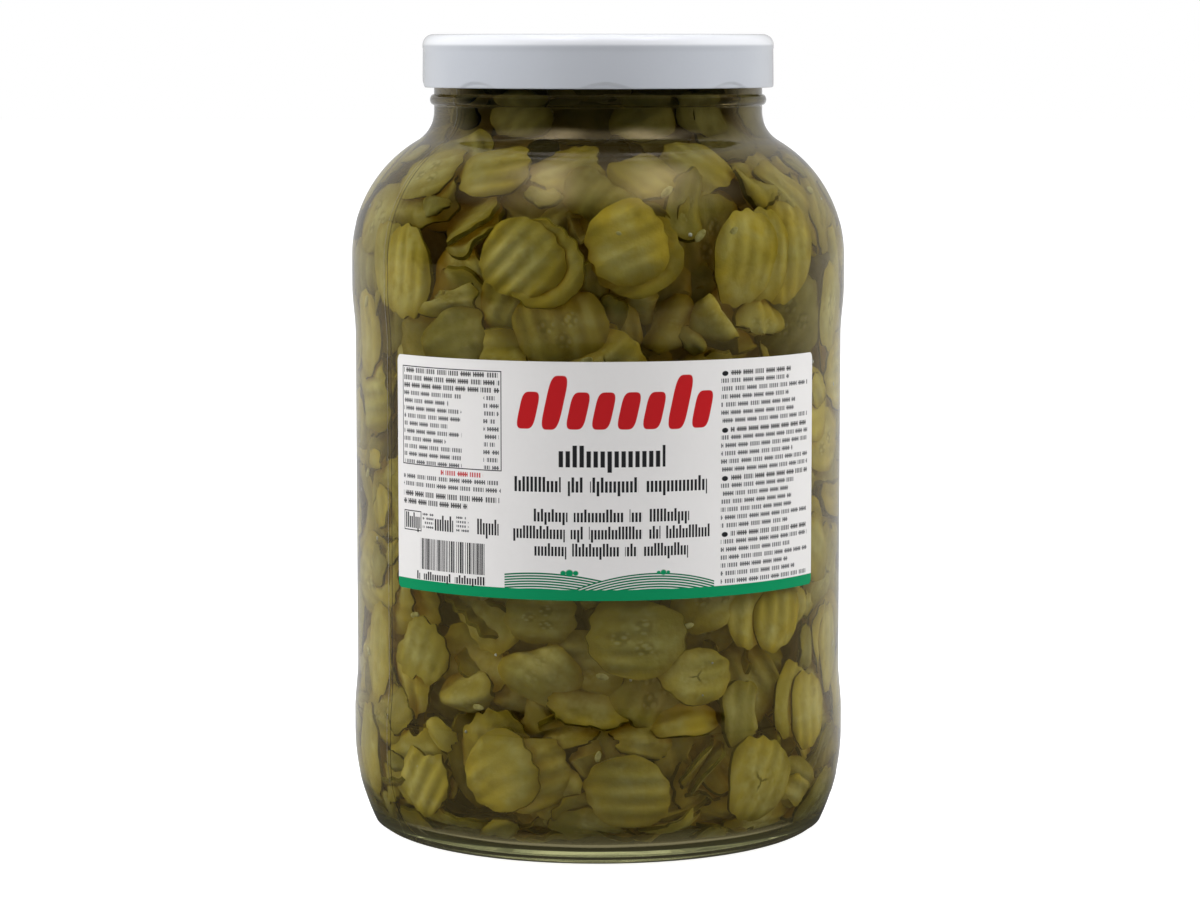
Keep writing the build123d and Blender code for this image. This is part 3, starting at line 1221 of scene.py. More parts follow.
FRONT_SLICES = (
    Slice(-18, 186, 14.5, 14.0, 42, Cut.PLAIN, 0.45, 0.8, tilt=9, lean=200, stack=1, drift=-15),
    Slice(7, 191, 14.0, 14.5, 28, Cut.PLAIN, 0.2, 0.9, tilt=8, lean=160, stack=1, drift=-50),
    Slice(37, 186, 12.0, 17.5, 78, Cut.PLAIN, 0.25, 0.9, tilt=10, lean=180, stack=2, drift=5),
    Slice(-51, 181, 12.0, 16.5, 90, Cut.PLAIN, 0.35, 0.85, tilt=8, lean=150, stack=1, drift=170),
    Slice(9, 71, 18.0, 14.0, 2, Cut.SEEDED, 0.75, 0.7, tilt=5, lean=60),
    Slice(-23, 29, 13.5, 14.0, 28, Cut.PLAIN, 0.35, 0.8, tilt=8, lean=170, stack=1, drift=-8),
    Slice(7, 23, 14.5, 13.0, 3, Cut.PLAIN, 0.6, 0.6, tilt=6, lean=250),
    Slice(41, 24, 13.5, 16.0, 72, Cut.SPLIT, 0.5, 0.65, tilt=8, lean=20),
    Slice(36, 46, 8.5, 11.5, 86, Cut.PLAIN, 0.95, 0.4, tilt=20, lean=0),
    Slice(60, 43, 11.0, 13.5, 85, Cut.PLAIN, 0.3, 0.8, tilt=12, lean=180, stack=1, drift=150),
    Slice(-47, 63, 12.0, 13.0, 62, Cut.RAGGED, 0.6, 0.6, tilt=9, lean=30),
    Slice(-46, 23, 11.5, 13.5, 60, Cut.RAGGED, 0.35, 0.85, tilt=8, lean=190),
    Slice(48, 74, 10.5, 12.0, 88, Cut.PLAIN, 0.1, 0.8, tilt=8, lean=200, stack=1, drift=170),
    Slice(24, 58, 13.0, 9.5, 8, Cut.SPLIT, 0.5, 0.8, tilt=16, lean=95),
    Slice(-52, 210, 14.0, 10.0, 24, Cut.SEEDED, 0.7, 0.85, tilt=9, lean=300),
    Slice(-30, 212, 13.5, 10.5, 15, Cut.PLAIN, 0.15, 0.8, tilt=12, lean=260),
    Slice(-9, 165, 15.5, 13.5, 108, Cut.SEEDED, 0.5, 0.65, 1.0, tilt=8, lean=270),
    Slice(0, 207, 13.0, 10.0, 60, Cut.PLAIN, 0.6, 0.3, 2.0, tilt=14, lean=90),
    Slice(-9, 214, 13.5, 10.0, 30, Cut.RAGGED, 0.5, 0.55, 1.0, tilt=12, lean=100),
    Slice(13, 212, 12.5, 10.0, 125, Cut.PLAIN, 0.4, 0.6, 1.0, tilt=14, lean=80),
    Slice(-30, 228, 12.0, 8.5, 60, Cut.INNER, 0.8, 0.85, 0.5, tilt=14, lean=90),
    Slice(-6, 226, 11.5, 8.5, 110, Cut.INNER, 0.8, 0.6, 0.8, tilt=16, lean=70),
    Slice(17, 227, 12.0, 8.5, 30, Cut.INNER, 0.8, 0.9, 0.5, tilt=14, lean=100),
    Slice(42, 228, 11.5, 8.5, 80, Cut.INNER, 0.8, 0.8, 0.5, tilt=12, lean=90),
    Slice(24, 203, 7.5, 14.0, 80, Cut.CURLED, 0.8, 0.6, 1.0, tilt=24, lean=0),
    Slice(30, 214, 13.0, 11.0, 130, Cut.PLAIN, 0.4, 0.85, 1.0, tilt=10, lean=270),
    Slice(55, 204, 13.0, 11.5, 130, Cut.HALF, 0.1, 0.6, 0.5, tilt=10, lean=60),
    Slice(-68, 196, 12.0, 14.0, 60, Cut.SEEDED, 0.5, 0.85, tilt=6),
    Slice(-36, 161, 14.0, 10.5, 20, Cut.PLAIN, 0.9, 0.25, 3.5, tilt=10, lean=100),
    Slice(-38, 173, 13.5, 8.0, 8, Cut.HALF, 0.4, 0.35, 3.0, tilt=22, lean=90),
    Slice(30, 168, 11.5, 9.0, 95, Cut.FOLDED, 0.4, 0.7, 0.5, tilt=25, lean=80),
    Slice(42, 164, 11.0, 10.0, 92, Cut.HALF, 0.3, 0.6, 1.5, tilt=30, lean=60),
    Slice(17, 166, 12.0, 8.5, 50, Cut.FOLDED, 0.3, 0.5, 2.5, tilt=32, lean=130),
    Slice(-14, 60, 14.0, 10.5, 150, Cut.CURLED, 0.85, 0.85, tilt=24, lean=100),
    Slice(-14, 77, 12.5, 9.5, 0, Cut.SEEDED, 0.85, 0.6, 1.5, tilt=7, lean=300),
    Slice(-34, 52, 12.0, 9.0, 10, Cut.FOLDED, 0.3, 0.55, 1.0, tilt=22, lean=240),
    Slice(21, 45, 13.0, 7.0, 6, Cut.PLAIN, 0.25, 0.7, 0.5, tilt=38, lean=95),
    Slice(35, 66, 17.0, 6.0, 176, Cut.FOLDED, 0.3, 0.55, 0.5, tilt=58, lean=90),
    Slice(26, 31, 11.0, 9.5, 40, Cut.FOLDED, 0.5, 0.45, 2.0, tilt=20, lean=130),
    Slice(-2, 49, 14.0, 7.5, 172, Cut.RAGGED, 0.3, 0.45, 0.8, tilt=34, lean=85),
    Slice(-7, 41, 12.0, 7.0, 12, Cut.FOLDED, 0.3, 0.3, 1.5, tilt=24, lean=270),
    Slice(10, 39, 11.0, 6.5, 168, Cut.RAGGED, 0.4, 0.35, 1.0, tilt=28, lean=80),
    Slice(-66, 60, 9.5, 18.0, 90, Cut.PLAIN, 0.5, 0.85, tilt=10, lean=180),
    Slice(-70, 28, 9.5, 16.0, 96, Cut.PLAIN, 0.5, 0.8, tilt=8, lean=180),
    Slice(74, 60, 9.0, 16.0, 90, Cut.PLAIN, 0.6, 0.8, tilt=8),
    Slice(72, 168, 10.5, 15.5, 90, Cut.SEEDED, 0.7, 0.9, tilt=6),
    Slice(-71, 160, 10.0, 16.0, 96, Cut.PLAIN, 0.5, 0.75, tilt=10),
)


def blurred(cells: np.ndarray) -> np.ndarray:
    """Evens out each cell with its four neighbours."""
    wide = np.pad(cells, 1, mode="edge")
    return (wide[:-2, 1:-1] + wide[2:, 1:-1] + wide[1:-1, :-2] + wide[1:-1, 2:] + cells) / 5


@dataclass
class Ground:
    """What slices settle on, as cells that hold how deep the slices lie by now."""

    cell: float = 1.6
    depth: np.ndarray = field(default_factory=lambda: np.zeros((1, 1)))

    def patch(self, u: float, v: float, reach: float) -> tuple:
        """The cells within reach of a place, with how far each lies to each side."""
        raise NotImplementedError

    def level(self, u: float, v: float, reach: float) -> tuple:
        """The smoothed depth round a place.

        Args:
            u: the place's first coordinate.
            v: its second.
            reach: how far round it.

        Returns:
            The smoothed depths, and the cells as patch gives them.
        """
        rows, cols, du, dv = self.patch(u, v, reach)
        soft = self.depth[rows, cols]
        for _ in range(4):
            soft = blurred(soft)
        return soft, rows, cols, du, dv


@dataclass
class Lining(Ground):
    """The inside of the wall, unrolled into angle and distance along the wall, as slices settle on it."""

    path: np.ndarray = field(default_factory=lambda: np.zeros((2, 2)))
    columns: int = 300

    def __post_init__(self) -> None:
        """Measures the path and starts with nothing on the wall."""
        steps = np.linalg.norm(np.diff(self.path, axis=0), axis=1)
        self.run = np.concatenate(([0.0], np.cumsum(steps)))
        self.length = float(self.run[-1])
        self.rows = int(self.length / self.cell)
        self.depth = np.zeros((self.rows, self.columns))
        self.row_run = (np.arange(self.rows) + 0.5) * self.cell
        self.row_radius = np.interp(self.row_run, self.run, self.path[:, 0])

    def at(self, along: np.ndarray) -> tuple[np.ndarray, np.ndarray, np.ndarray, np.ndarray]:
        """Radius, height and the two parts of the inward direction at distances along the wall."""
        radius = np.interp(along, self.run, self.path[:, 0])
        height = np.interp(along, self.run, self.path[:, 1])
        ahead = np.clip(along + 2.0, 0, self.length)
        behind = np.clip(along - 2.0, 0, self.length)
        dr = np.interp(ahead, self.run, self.path[:, 0]) - np.interp(behind, self.run, self.path[:, 0])
        dz = np.interp(ahead, self.run, self.path[:, 1]) - np.interp(behind, self.run, self.path[:, 1])
        size = np.hypot(dr, dz) + 1e-9
        return radius, height, -dz / size, dr / size

    def along_for(self, height: float) -> float:
        """The distance along the wall at a height."""
        return float(np.interp(height, self.path[:, 1], self.run))

    def patch(self, u: float, v: float, reach: float) -> tuple:
        """The cells within reach of an angle and a distance along, with how far each lies to each side."""
        low = max(int((v - reach) / self.cell), 0)
        high = min(int((v + reach) / self.cell) + 1, self.rows)
        radius = float(np.interp(v, self.run, self.path[:, 0]))
        half = int(reach / radius / (2 * math.pi) * self.columns) + 1
        middle = u / 360 * self.columns
        cols = np.arange(int(middle) - half, int(middle) + half + 1)
        rows = np.arange(low, high)
        side = (cols + 0.5 - middle) * (2 * math.pi / self.columns)
        du = side[None, :] * self.row_radius[rows][:, None]
        dv = np.repeat((self.row_run[rows] - v)[:, None], len(cols), axis=1)
        return rows[:, None], (cols % self.columns)[None, :], du, dv

    def stand(self, u: float, v: float) -> tuple[np.ndarray, np.ndarray, np.ndarray, np.ndarray]:
        """The point of the wall and the directions round it, along it and inwards."""
        radius, height, nr, nz = (float(part) for part in self.at(np.array(v)))
        t = math.radians(u)
        out = np.array([math.sin(t), -math.cos(t), 0.0])
        side = np.array([math.cos(t), math.sin(t), 0.0])
        up = np.array([0.0, 0.0, 1.0])
        return radius * out + height * up, side, nz * out - nr * up, nr * out + nz * up

    def bent(self, u: float, v: float, local: np.ndarray) -> np.ndarray:
        """Lays local points so that they follow the wall: to the side, above, and inwards."""
        radius, height, nr, nz = self.at(np.clip(v + local[:, 1], 0, self.length))
        own = max(float(np.interp(v, self.run, self.path[:, 0])) - float(local[:, 2].mean()), 12.0)
        t = math.radians(u) + local[:, 0] / own
        reach = radius + nr * local[:, 2]
        return np.stack((np.sin(t) * reach, -np.cos(t) * reach, height + nz * local[:, 2]), axis=1)


@dataclass
class Base(Ground):
    """The inside of the base, as slices settle on it."""

    centre_z: float = 10.0
    edge_z: float = 5.5
    edge_r: float = 60.0
    half: int = 40

    def __post_init__(self) -> None:
        """Starts with nothing on the base."""
        self.depth = np.zeros((2 * self.half, 2 * self.half))

    def span(self, middle: float, reach: float) -> np.ndarray:
        """The numbers of the cells within reach of a coordinate."""
        low = int((middle - reach) / self.cell) + self.half
        high = int((middle + reach) / self.cell) + self.half + 1
        return np.arange(max(low, 0), min(high, 2 * self.half))

    def patch(self, u: float, v: float, reach: float) -> tuple:
        """The cells within reach of a place, with how far each lies to each side."""
        rows, cols = self.span(v, reach), self.span(u, reach)
        du = np.repeat(((cols - self.half + 0.5) * self.cell - u)[None, :], len(rows), axis=0)
        dv = np.repeat(((rows - self.half + 0.5) * self.cell - v)[:, None], len(cols), axis=1)
        return rows[:, None], cols[None, :], du, dv

    def stand(self, u: float, v: float) -> tuple[np.ndarray, np.ndarray, np.ndarray, np.ndarray]:
        """The point of the base and the directions across it, along it and upwards."""
        rise = (self.centre_z - self.edge_z) * (1 - (math.hypot(u, v) / self.edge_r) ** 2)
        point = np.array([u, v, self.edge_z + rise])
        return point, np.array([1.0, 0, 0]), np.array([0, 1.0, 0]), np.array([0, 0, 1.0])


RIM_STEPS = 72
RIM_TURNS = np.linspace(0, 2 * math.pi, RIM_STEPS + 1)
LOBES = ((2, 0.07), (3, 0.055), (4, 0.035), (5, 0.032), (7, 0.02), (9, 0.014), (13, 0.01))


@dataclass
class Template:
    """One slice shape: its outline, its mesh and its map, at a radius of 1 and a thickness of 1."""

    outline: np.ndarray
    points: np.ndarray
    faces: np.ndarray
    corners: np.ndarray
    face_uv: np.ndarray

    @staticmethod
    def rim(cut: Cut, chance: np.random.Generator) -> np.ndarray:
        """Draws a slice's outline, uneven as soft slices are.

        Args:
            cut: the kind of slice.
            chance: the source of its unevenness.

        Returns:
            The radius at each of RIM_STEPS angles.
        """
        turns = RIM_TURNS[:-1]
        rim = np.ones(RIM_STEPS)
        for lobes, size in LOBES:
            rim += size * chance.uniform(0.25, 1.0) * np.cos(lobes * turns + chance.uniform(0, 6.3))
        if cut in (Cut.RAGGED, Cut.SCRAP):
            rim += 0.03 * np.cos(15 * turns + 1.0) + 0.02 * np.cos(22 * turns)
            for deep in (0.3, 0.14):
                bite = chance.uniform(0, 6.3)
                rim -= deep * np.exp(-((np.angle(np.exp(1j * (turns - bite))) / 0.3) ** 2))
        if cut is Cut.HALF:
            away = np.cos(turns - chance.uniform(0, 6.3))
            torn = 0.18 + 0.05 * np.cos(9 * turns + 2.0) + 0.03 * np.cos(17 * turns)
            rim = np.where(away > 0.05, np.minimum(rim, torn / np.maximum(away, 0.05)), rim)
        return rim / rim.max()

    @staticmethod
    def make(cut: Cut, seed: int, columns: int, rows: int) -> "Template":
        """Shapes a slab from a grid.

        Args:
            cut: the kind of slice.
            seed: picks its unevenness.
            columns: steps across the ridges.
            rows: steps along them.

        Returns:
            The template.
        """
        outline = Template.rim(cut, np.random.default_rng(seed))
        bm = bmesh.new()
        bmesh.ops.create_grid(bm, x_segments=columns, y_segments=rows, size=1.0)
        for vert in bm.verts:
            x, y = vert.co.x * 0.985, math.copysign(1 - (1 - abs(vert.co.y)) ** 1.7, vert.co.y)
            y *= math.sqrt(1 - x * x)
            turn = math.atan2(y, x) % (2 * math.pi)
            reach = math.hypot(x, y)
            edge = float(np.interp(turn, RIM_TURNS, np.append(outline, outline[0])))
            share = 1 + (edge - 1) * reach
            vert.co = (x * share, y * share, 0.0)
        geometry = bmesh.ops.extrude_face_region(bm, geom=bm.faces[:])["geom"]
        lifted = [g for g in geometry if isinstance(g, bmesh.types.BMVert)]
        bmesh.ops.translate(bm, vec=(0, 0, 1), verts=lifted)
        bmesh.ops.recalc_face_normals(bm, faces=bm.faces)
        bm.verts.index_update()
        points = np.array([v.co[:] for v in bm.verts])
        faces = np.array([[v.index for v in f.verts] for f in bm.faces])
        uv = []
        for f in bm.faces:
            side = abs(f.normal.z) < 0.5
            for loop in f.loops:
                x, y, _ = loop.vert.co
                grow = 1.12 / max(math.hypot(x, y), 0.4) if side else 1.0
                uv.append((FACE_MIDDLE + FACE_REACH * x * grow, FACE_MIDDLE + FACE_REACH * y * grow))
        bm.free()
        points[:, 2] -= 0.5
        return Template(outline, points, faces, faces.ravel(), np.array(uv))

    def reach_of(self, x: np.ndarray, y: np.ndarray) -> np.ndarray:
        """How near points, in radii of the slice, lie to its outline: 1 on it."""
        outline = np.append(self.outline, self.outline[0])
        edge = np.interp(np.arctan2(y, x) % (2 * math.pi), RIM_TURNS, outline)
        return np.hypot(x, y) / edge


@dataclass
class Pose:
    """How one slice is laid: its kind, place, half sizes, the turn of its ridges, its lean and its looks."""

    cut: Cut
    u: float
    v: float
    wide: float
    tall: float
    turn: float
    tilt: float
    lean: float
    hue: float
    shade: float
    least: float = 0.0


# the kinds that are scattered by chance, with the share of each
SCATTERED = {
    Cut.PLAIN: 0.32,
    Cut.SEEDED: 0.12,
    Cut.SPLIT: 0.06,
    Cut.CURLED: 0.16,
    Cut.RAGGED: 0.14,
    Cut.FOLDED: 0.12,
    Cut.HALF: 0.08,
}
# the steps of each kind's mesh across and along its ridges, where they are not the usual ones
USUAL_GRID = (32, 8)
COARSE_GRIDS = {Cut.INNER: (16, 3), Cut.SCRAP: (14, 4)}


@dataclass
class PickleFill:
    """The crinkle-cut slices that fill the jar, laid from the glass inwards."""

    jar: GlassJar
    top_z: float
    slice_thick: float = 2.9
    ridge_pitch: float = 5.4
    ridge_deep: float = 0.45
    clear: float = 0.35
    wall_slices: int = 350
    inner_slices: int = 190
    scraps: int = 100
    plugs: int = 190
    neck_z: float = 216.0
    shoulder_z: float = 192.0
    panel_z: float = 150.0
    shapes: int = 5
    deepest_gap: float = 8.0
    core_inset: float = 24.0
    core_low_z: float = 14.0
    base_slices: int = 46
    seed: int = 11

    def __post_init__(self) -> None:
        """Unrolls the wall and shapes the templates."""
        self.chance = np.random.default_rng(self.seed)
        inner = np.array(self.jar.inside(self.top_z - 1.0))
        edge_r = self.jar.bulge_r - self.jar.wall - self.jar.inner_heel_r
        wall = inner[(inner[:, 0] > edge_r - 9) | (inner[:, 1] > 30)]
        self.wall = Lining(path=wall)
        middle_z = self.jar.base_wall + self.jar.push_up
        self.base = Base(centre_z=middle_z, edge_z=self.jar.base_wall, edge_r=edge_r)
        self.guard = self.shell(inner)
        self.templates = {}
        for cut in Cut:
            grid = COARSE_GRIDS.get(cut, USUAL_GRID)
            seeds = [31 * i + len(cut.value) for i in range(self.shapes)]
            self.templates[cut] = [Template.make(cut, seed, *grid) for seed in seeds]
        self.laid: dict[Cut, list] = {cut: [] for cut in Cut}

    def shell(self, inner: np.ndarray) -> Callable[[np.ndarray], np.ndarray]:
        """Makes the function that keeps points clear of the glass.

        Args:
            inner: the inner face's points.

        Returns:
            A function that moves points inwards to the clearance.
        """
        steps = np.linspace(0, 1, 6)[:-1]
        dense = np.concatenate([inner[:-1] + (inner[1:] - inner[:-1]) * s for s in steps])
        order = np.argsort(np.concatenate([np.arange(len(inner) - 1) + s for s in steps]))
        dense = dense[order]
        tangent = np.gradient(dense, axis=0)
        tangent /= np.linalg.norm(tangent, axis=1, keepdims=True) + 1e-9
        normal = np.stack((-tangent[:, 1], tangent[:, 0]), axis=1)

        def keep(points: np.ndarray) -> np.ndarray:
            """Moves points inwards to the clearance."""
            reach = np.hypot(points[:, 0], points[:, 1])
            flat = np.stack((reach, points[:, 2]), axis=1)
            away = ((flat[:, None, :] - dense[None, :, :]) ** 2).sum(axis=2)
            near = away.argmin(axis=1)
            depth = ((flat - dense[near]) * normal[near]).sum(axis=1)
            push = np.clip(self.clear - depth, 0, None)
            moved = flat + normal[near] * push[:, None]
            share = moved[:, 0] / np.maximum(reach, 1e-6)
            top = np.minimum(moved[:, 1], self.top_z - 1.6)
            return np.stack((points[:, 0] * share, points[:, 1] * share, top), axis=1)

        return keep

    def settle(self, ground: Ground, template: Template, p: Pose) -> tuple | None:
        """Finds how deep a slice comes to rest.

        Args:
            ground: the wall or the base.
            template: the slice's shape.
            p: how it is laid.

        Returns:
            Its depth, the mean depth of what lies under it, the cells that it covers and its slope over
            them, or None where it fits nowhere.
        """
        rows, cols, du, dv = ground.patch(p.u, p.v, max(p.wide, p.tall) + 1)
        a = math.radians(p.lean)
        along = du * math.cos(a) + dv * math.sin(a)
        side = dv * math.cos(a) - du * math.sin(a)
        stretched = along / math.cos(math.radians(p.tilt))
        x = stretched * math.cos(a) - side * math.sin(a)
        y = stretched * math.sin(a) + side * math.cos(a)
        b = math.radians(p.turn + 90)
        across = (x * math.cos(b) + y * math.sin(b)) / p.tall
        up = (y * math.cos(b) - x * math.sin(b)) / p.wide
        mask = template.reach_of(across, up) < 1
        if mask.sum() < 8:
            return None
        slope = along * math.tan(math.radians(p.tilt))
        ground_depth = ground.depth[rows, cols]
        rest = max(float((ground_depth - slope)[mask].max()), p.least)
        return rest, float(ground_depth[mask].mean()), rows, cols, mask, slope

    def dimmed(self, p: Pose) -> Pose:
        """Makes a slice coarse and dark in the neck, as painted shade under the lid, and darker in the
        shoulder and upper band, as painted shade by height.
        """
        height = float(np.interp(p.v, self.wall.run, self.wall.path[:, 1]))
        # painted shade: the lid shades the neck
        if height > self.neck_z:
            return replace(p, cut=Cut.INNER, shade=p.shade * 0.95 - 0.7, hue=0.8)
        if height > self.shoulder_z:
            return replace(p, shade=p.shade * 0.6 - 0.1)
        if height > self.panel_z:
            return replace(p, shade=p.shade * 0.85)
        return p

    def lay(self, ground: Ground, p: Pose) -> None:
        """Lays one slice on the wall or the base, over what lies there, if it fits."""
        if ground is self.wall:
            p = self.dimmed(p)
        template = self.templates[p.cut][int(self.chance.integers(self.shapes))]
        found = self.settle(ground, template, p)
        if found is None:
            return
        rest, _, rows, cols, mask, slope = found
        sag = 0.0 if p.tilt > 30 or p.cut is Cut.INNER else self.chance.uniform(0.5, 0.9)
        soft, wide_rows, wide_cols, wide_du, wide_dv = ground.level(p.u, p.v, max(p.wide, p.tall) + 4)
        entry = self.shape(ground, template, p, rest, sag, (soft, wide_du, wide_dv))
        drop = np.zeros_like(ground.depth)
        drop[wide_rows, wide_cols] = soft
        fall = sag * np.clip(rest + slope - drop[rows, cols], 0, self.deepest_gap)
        thick = (self.slice_thick + self.ridge_deep) / math.cos(math.radians(p.tilt))
        cover = rest + slope - fall + thick
        depth = ground.depth[rows, cols]
        depth[mask] = np.maximum(depth, cover)[mask]
        ground.depth[rows, cols] = depth
        self.laid[p.cut].append(entry + (p.hue, p.shade))

    @staticmethod
    def bend(
        along: np.ndarray, z: np.ndarray, total: float, half: float
    ) -> tuple[np.ndarray, np.ndarray]:
        """Bends a slab about a line.

        Args:
            along: how far points lie from the line.
            z: their height over the slab's middle face.
            total: the bend in radians.
            half: half the width over which it bends, in millimetres.

        Returns:
            The new distances and heights.
        """
        s = np.linspace(-32, 32, 257)
        share = np.clip((s + half) / (2 * half), 0, 1)
        angle = total * (share * share * (3 - 2 * share) - 0.5)
        step = s[1] - s[0]
        flat, high = np.cumsum(np.cos(angle)) * step, np.cumsum(np.sin(angle)) * step
        flat, high = flat - flat[128], high - high[128]
        here = np.interp(along, s, angle)
        return (np.interp(along, s, flat) - z * np.sin(here), np.interp(along, s, high) + z * np.cos(here))

    def shape(
        self, ground: Ground, template: Template, p: Pose, rest: float, sag: float, level: tuple
    ) -> tuple:
        """Works out where the points of a laid slice come.

        Args:
            ground: the wall or the base.
            template: the slice's shape.
            p: how it is laid.
            rest: how deep it rests.
            sag: the share of each gap behind it that it sinks into.
            level: the smoothed ground round it.

        Returns:
            The points in millimetres, the template and the ridges' height at each point, 0 to 1.
        """
        chance = self.chance
        pts = template.points
        x, y = pts[:, 0] * p.tall, pts[:, 1] * p.wide
        reach = np.minimum(template.reach_of(pts[:, 0], pts[:, 1]), 1.0)
        phase, swing = chance.uniform(0, 6.3), chance.uniform(0, 6.3)
        wave = np.sin(2 * math.pi * x / self.ridge_pitch + phase + 0.7 * np.sin(y * 0.16 + swing))
        fade = 0.65 + 0.35 * np.sin(y * 0.21 + x * 0.13 + swing)
        thin = 1 - 0.3 * reach**3 - 0.25 * reach**10
        z = pts[:, 2] * self.slice_thick * thin * chance.uniform(0.8, 1.15)
        strength = chance.uniform(0.5, 1.15)
        z = z + self.ridge_deep * strength * wave * fade
        y = y * (1 + 0.035 * wave * reach**4)
        relief = 0.5 + 0.5 * min(strength, 1.0) * wave * fade * np.where(pts[:, 2] > 0, 1, -1)
        ripple = 1.5 * reach**2 * np.sin(np.arctan2(y, x) * chance.integers(2, 5) + swing)
        z = z + ripple * chance.uniform(0.3, 1.0)
        total, half = chance.normal(0, 0.35), 14.0
        if p.cut is Cut.CURLED:
            total, half = chance.choice([-1, 1]) * chance.uniform(0.9, 1.9), chance.uniform(8, 14)
        elif p.cut is Cut.FOLDED:
            total, half = chance.choice([-1, 1]) * chance.uniform(1.5, 2.7), chance.uniform(2.5, 4.5)
        elif p.cut is Cut.SCRAP:
            total, half = chance.choice([-1, 1]) * chance.uniform(0.2, 1.6), chance.uniform(3.0, 7.0)
        line = chance.uniform(0, math.pi)
        shift = chance.uniform(-0.25, 0.25) * p.wide
        c, s = math.cos(line), math.sin(line)
        along, side = x * c + y * s, y * c - x * s
        along, z = self.bend(along - shift, z, total, half)
        along = along + shift
        x, y = along * c - side * s, along * s + side * c
        if p.cut in (Cut.CURLED, Cut.FOLDED):
            z = z - z.min() - self.slice_thick / 2 - self.ridge_deep
        b = math.radians(p.turn + 90)
        px, py = x * math.cos(b) - y * math.sin(b), x * math.sin(b) + y * math.cos(b)
        a, t = math.radians(p.lean), math.radians(p.tilt)
        along, side = px * math.cos(a) + py * math.sin(a), py * math.cos(a) - px * math.sin(a)
        flat = along * math.cos(t) - z * math.sin(t)
        deep = along * math.sin(t) + z * math.cos(t)
        du, dv = flat * math.cos(a) - side * math.sin(a), flat * math.sin(a) + side * math.cos(a)
        middle = rest + (self.slice_thick / 2 + self.ridge_deep) / math.cos(t)
        deep = deep + middle - sag * self.gap(level, du, dv, rest + flat * math.tan(t))
        local = np.stack((du, dv, deep), axis=1)
        point, e_u, e_v, inward = ground.stand(p.u, p.v)
        placed = point + local[:, :1] * e_u + local[:, 1:2] * e_v + local[:, 2:] * inward
        if isinstance(ground, Lining):
            share = max(0.0, 0.9 - p.tilt / 45)
            placed = placed * (1 - share) + ground.bent(p.u, p.v, local) * share
        return self.guard(placed), template, relief

    def gap(self, level: tuple, du: np.ndarray, dv: np.ndarray, depth: np.ndarray) -> np.ndarray:
        """How much room lies between points and the smoothed ground, up to the deepest gap."""
        soft, grid_u, grid_v = level
        if min(soft.shape) < 2:
            return np.zeros_like(du)
        middle = soft.shape[0] // 2
        step_u = float(grid_u[middle, 1] - grid_u[middle, 0])
        step_v = float(grid_v[1, 0] - grid_v[0, 0])
        i = np.clip((dv - grid_v[0, 0]) / step_v, 0, soft.shape[0] - 1.001)
        j = np.clip((du - grid_u[middle, 0]) / step_u, 0, soft.shape[1] - 1.001)
        i0, j0 = i.astype(int), j.astype(int)
        fi, fj = i - i0, j - j0
        low = soft[i0, j0] * (1 - fj) + soft[i0, j0 + 1] * fj
        high = soft[i0 + 1, j0] * (1 - fj) + soft[i0 + 1, j0 + 1] * fj
        return np.clip(depth - (low * (1 - fi) + high * fi), 0, self.deepest_gap)

    def bunch(self, ground: Ground, p: Pose, more: int, drift: float) -> None:
        """Lays a slice and others like it behind, each moved on a little."""
        chance = self.chance
        self.lay(ground, p)
        a = math.radians(drift)
        for number in range(1, more + 1):
            away = chance.uniform(5.0, 9.5) * number
            u, v = p.u + away * math.cos(a), p.v + away * math.sin(a)
            if isinstance(ground, Lining):
                radius = max(float(np.interp(p.v, ground.run, ground.path[:, 0])), 20.0)
                u = (p.u + math.degrees(away * math.cos(a) / radius)) % 360
                v = float(np.clip(v, 4, ground.length - 4))
            kind = Cut.PLAIN if p.cut in (Cut.HALF, Cut.FOLDED) else p.cut
            behind = Pose(
                kind,
                u,
                v,
                wide=p.wide * chance.uniform(0.9, 1.1),
                tall=p.tall * chance.uniform(0.9, 1.1),
                turn=p.turn + chance.normal(0, 10),
                tilt=abs(p.tilt + chance.normal(0, 4)),
                lean=p.lean,
                hue=float(np.clip(p.hue + chance.normal(0, 0.2), 0, 1)),
                shade=float(np.clip(p.shade + chance.normal(-0.1, 0.1), 0, 1)),
            )
            self.lay(ground, behind)

    def scatter(
        self, ground: Ground, count: int, pick: Callable[[], tuple[float, float]], inner: bool = False
    ) -> None:
        """Lays slices by chance where the fewest lie.

        Args:
            ground: the wall or the base.
            count: how many.
            pick: gives a chance place.
            inner: whether they lie behind the others and are coarser, in the darker flesh of painted shade.
        """
        chance = self.chance
        kinds, shares = list(SCATTERED), list(SCATTERED.values())
        number = 0
        while number < count:
            cut = Cut.INNER if inner else kinds[chance.choice(len(kinds), p=shares)]
            size = float(np.clip(chance.normal(15.0, 1.7), 11.0, 18.5))
            wide, tall = size * chance.uniform(0.86, 1.05), size * chance.uniform(0.78, 1.0)
            steep = chance.random() < 0.12
            best = None
            for _ in range(6):
                u, v = pick()
                for _ in range(4):
                    tilt = chance.uniform(30, 55) if steep else abs(chance.normal(9, 9))
                    turn, lean = chance.uniform(0, 180), chance.uniform(0, 360)
                    hue, shade = float(chance.random()), float(np.clip(chance.normal(0.55, 0.22), 0, 1))
                    p = Pose(cut, u, v, wide, tall, turn, tilt, lean, hue, shade)
                    found = self.settle(ground, self.templates[cut][0], p)
                    if found is not None and (best is None or found[0] * 0.6 + found[1] < best[0]):
                        best = (found[0] * 0.6 + found[1], p)
            more = 0 if inner else int(chance.choice(3, p=[0.5, 0.32, 0.18]))
            number += 1 + more
            if best is not None:
                self.bunch(ground, best[1], more, chance.uniform(0, 360))

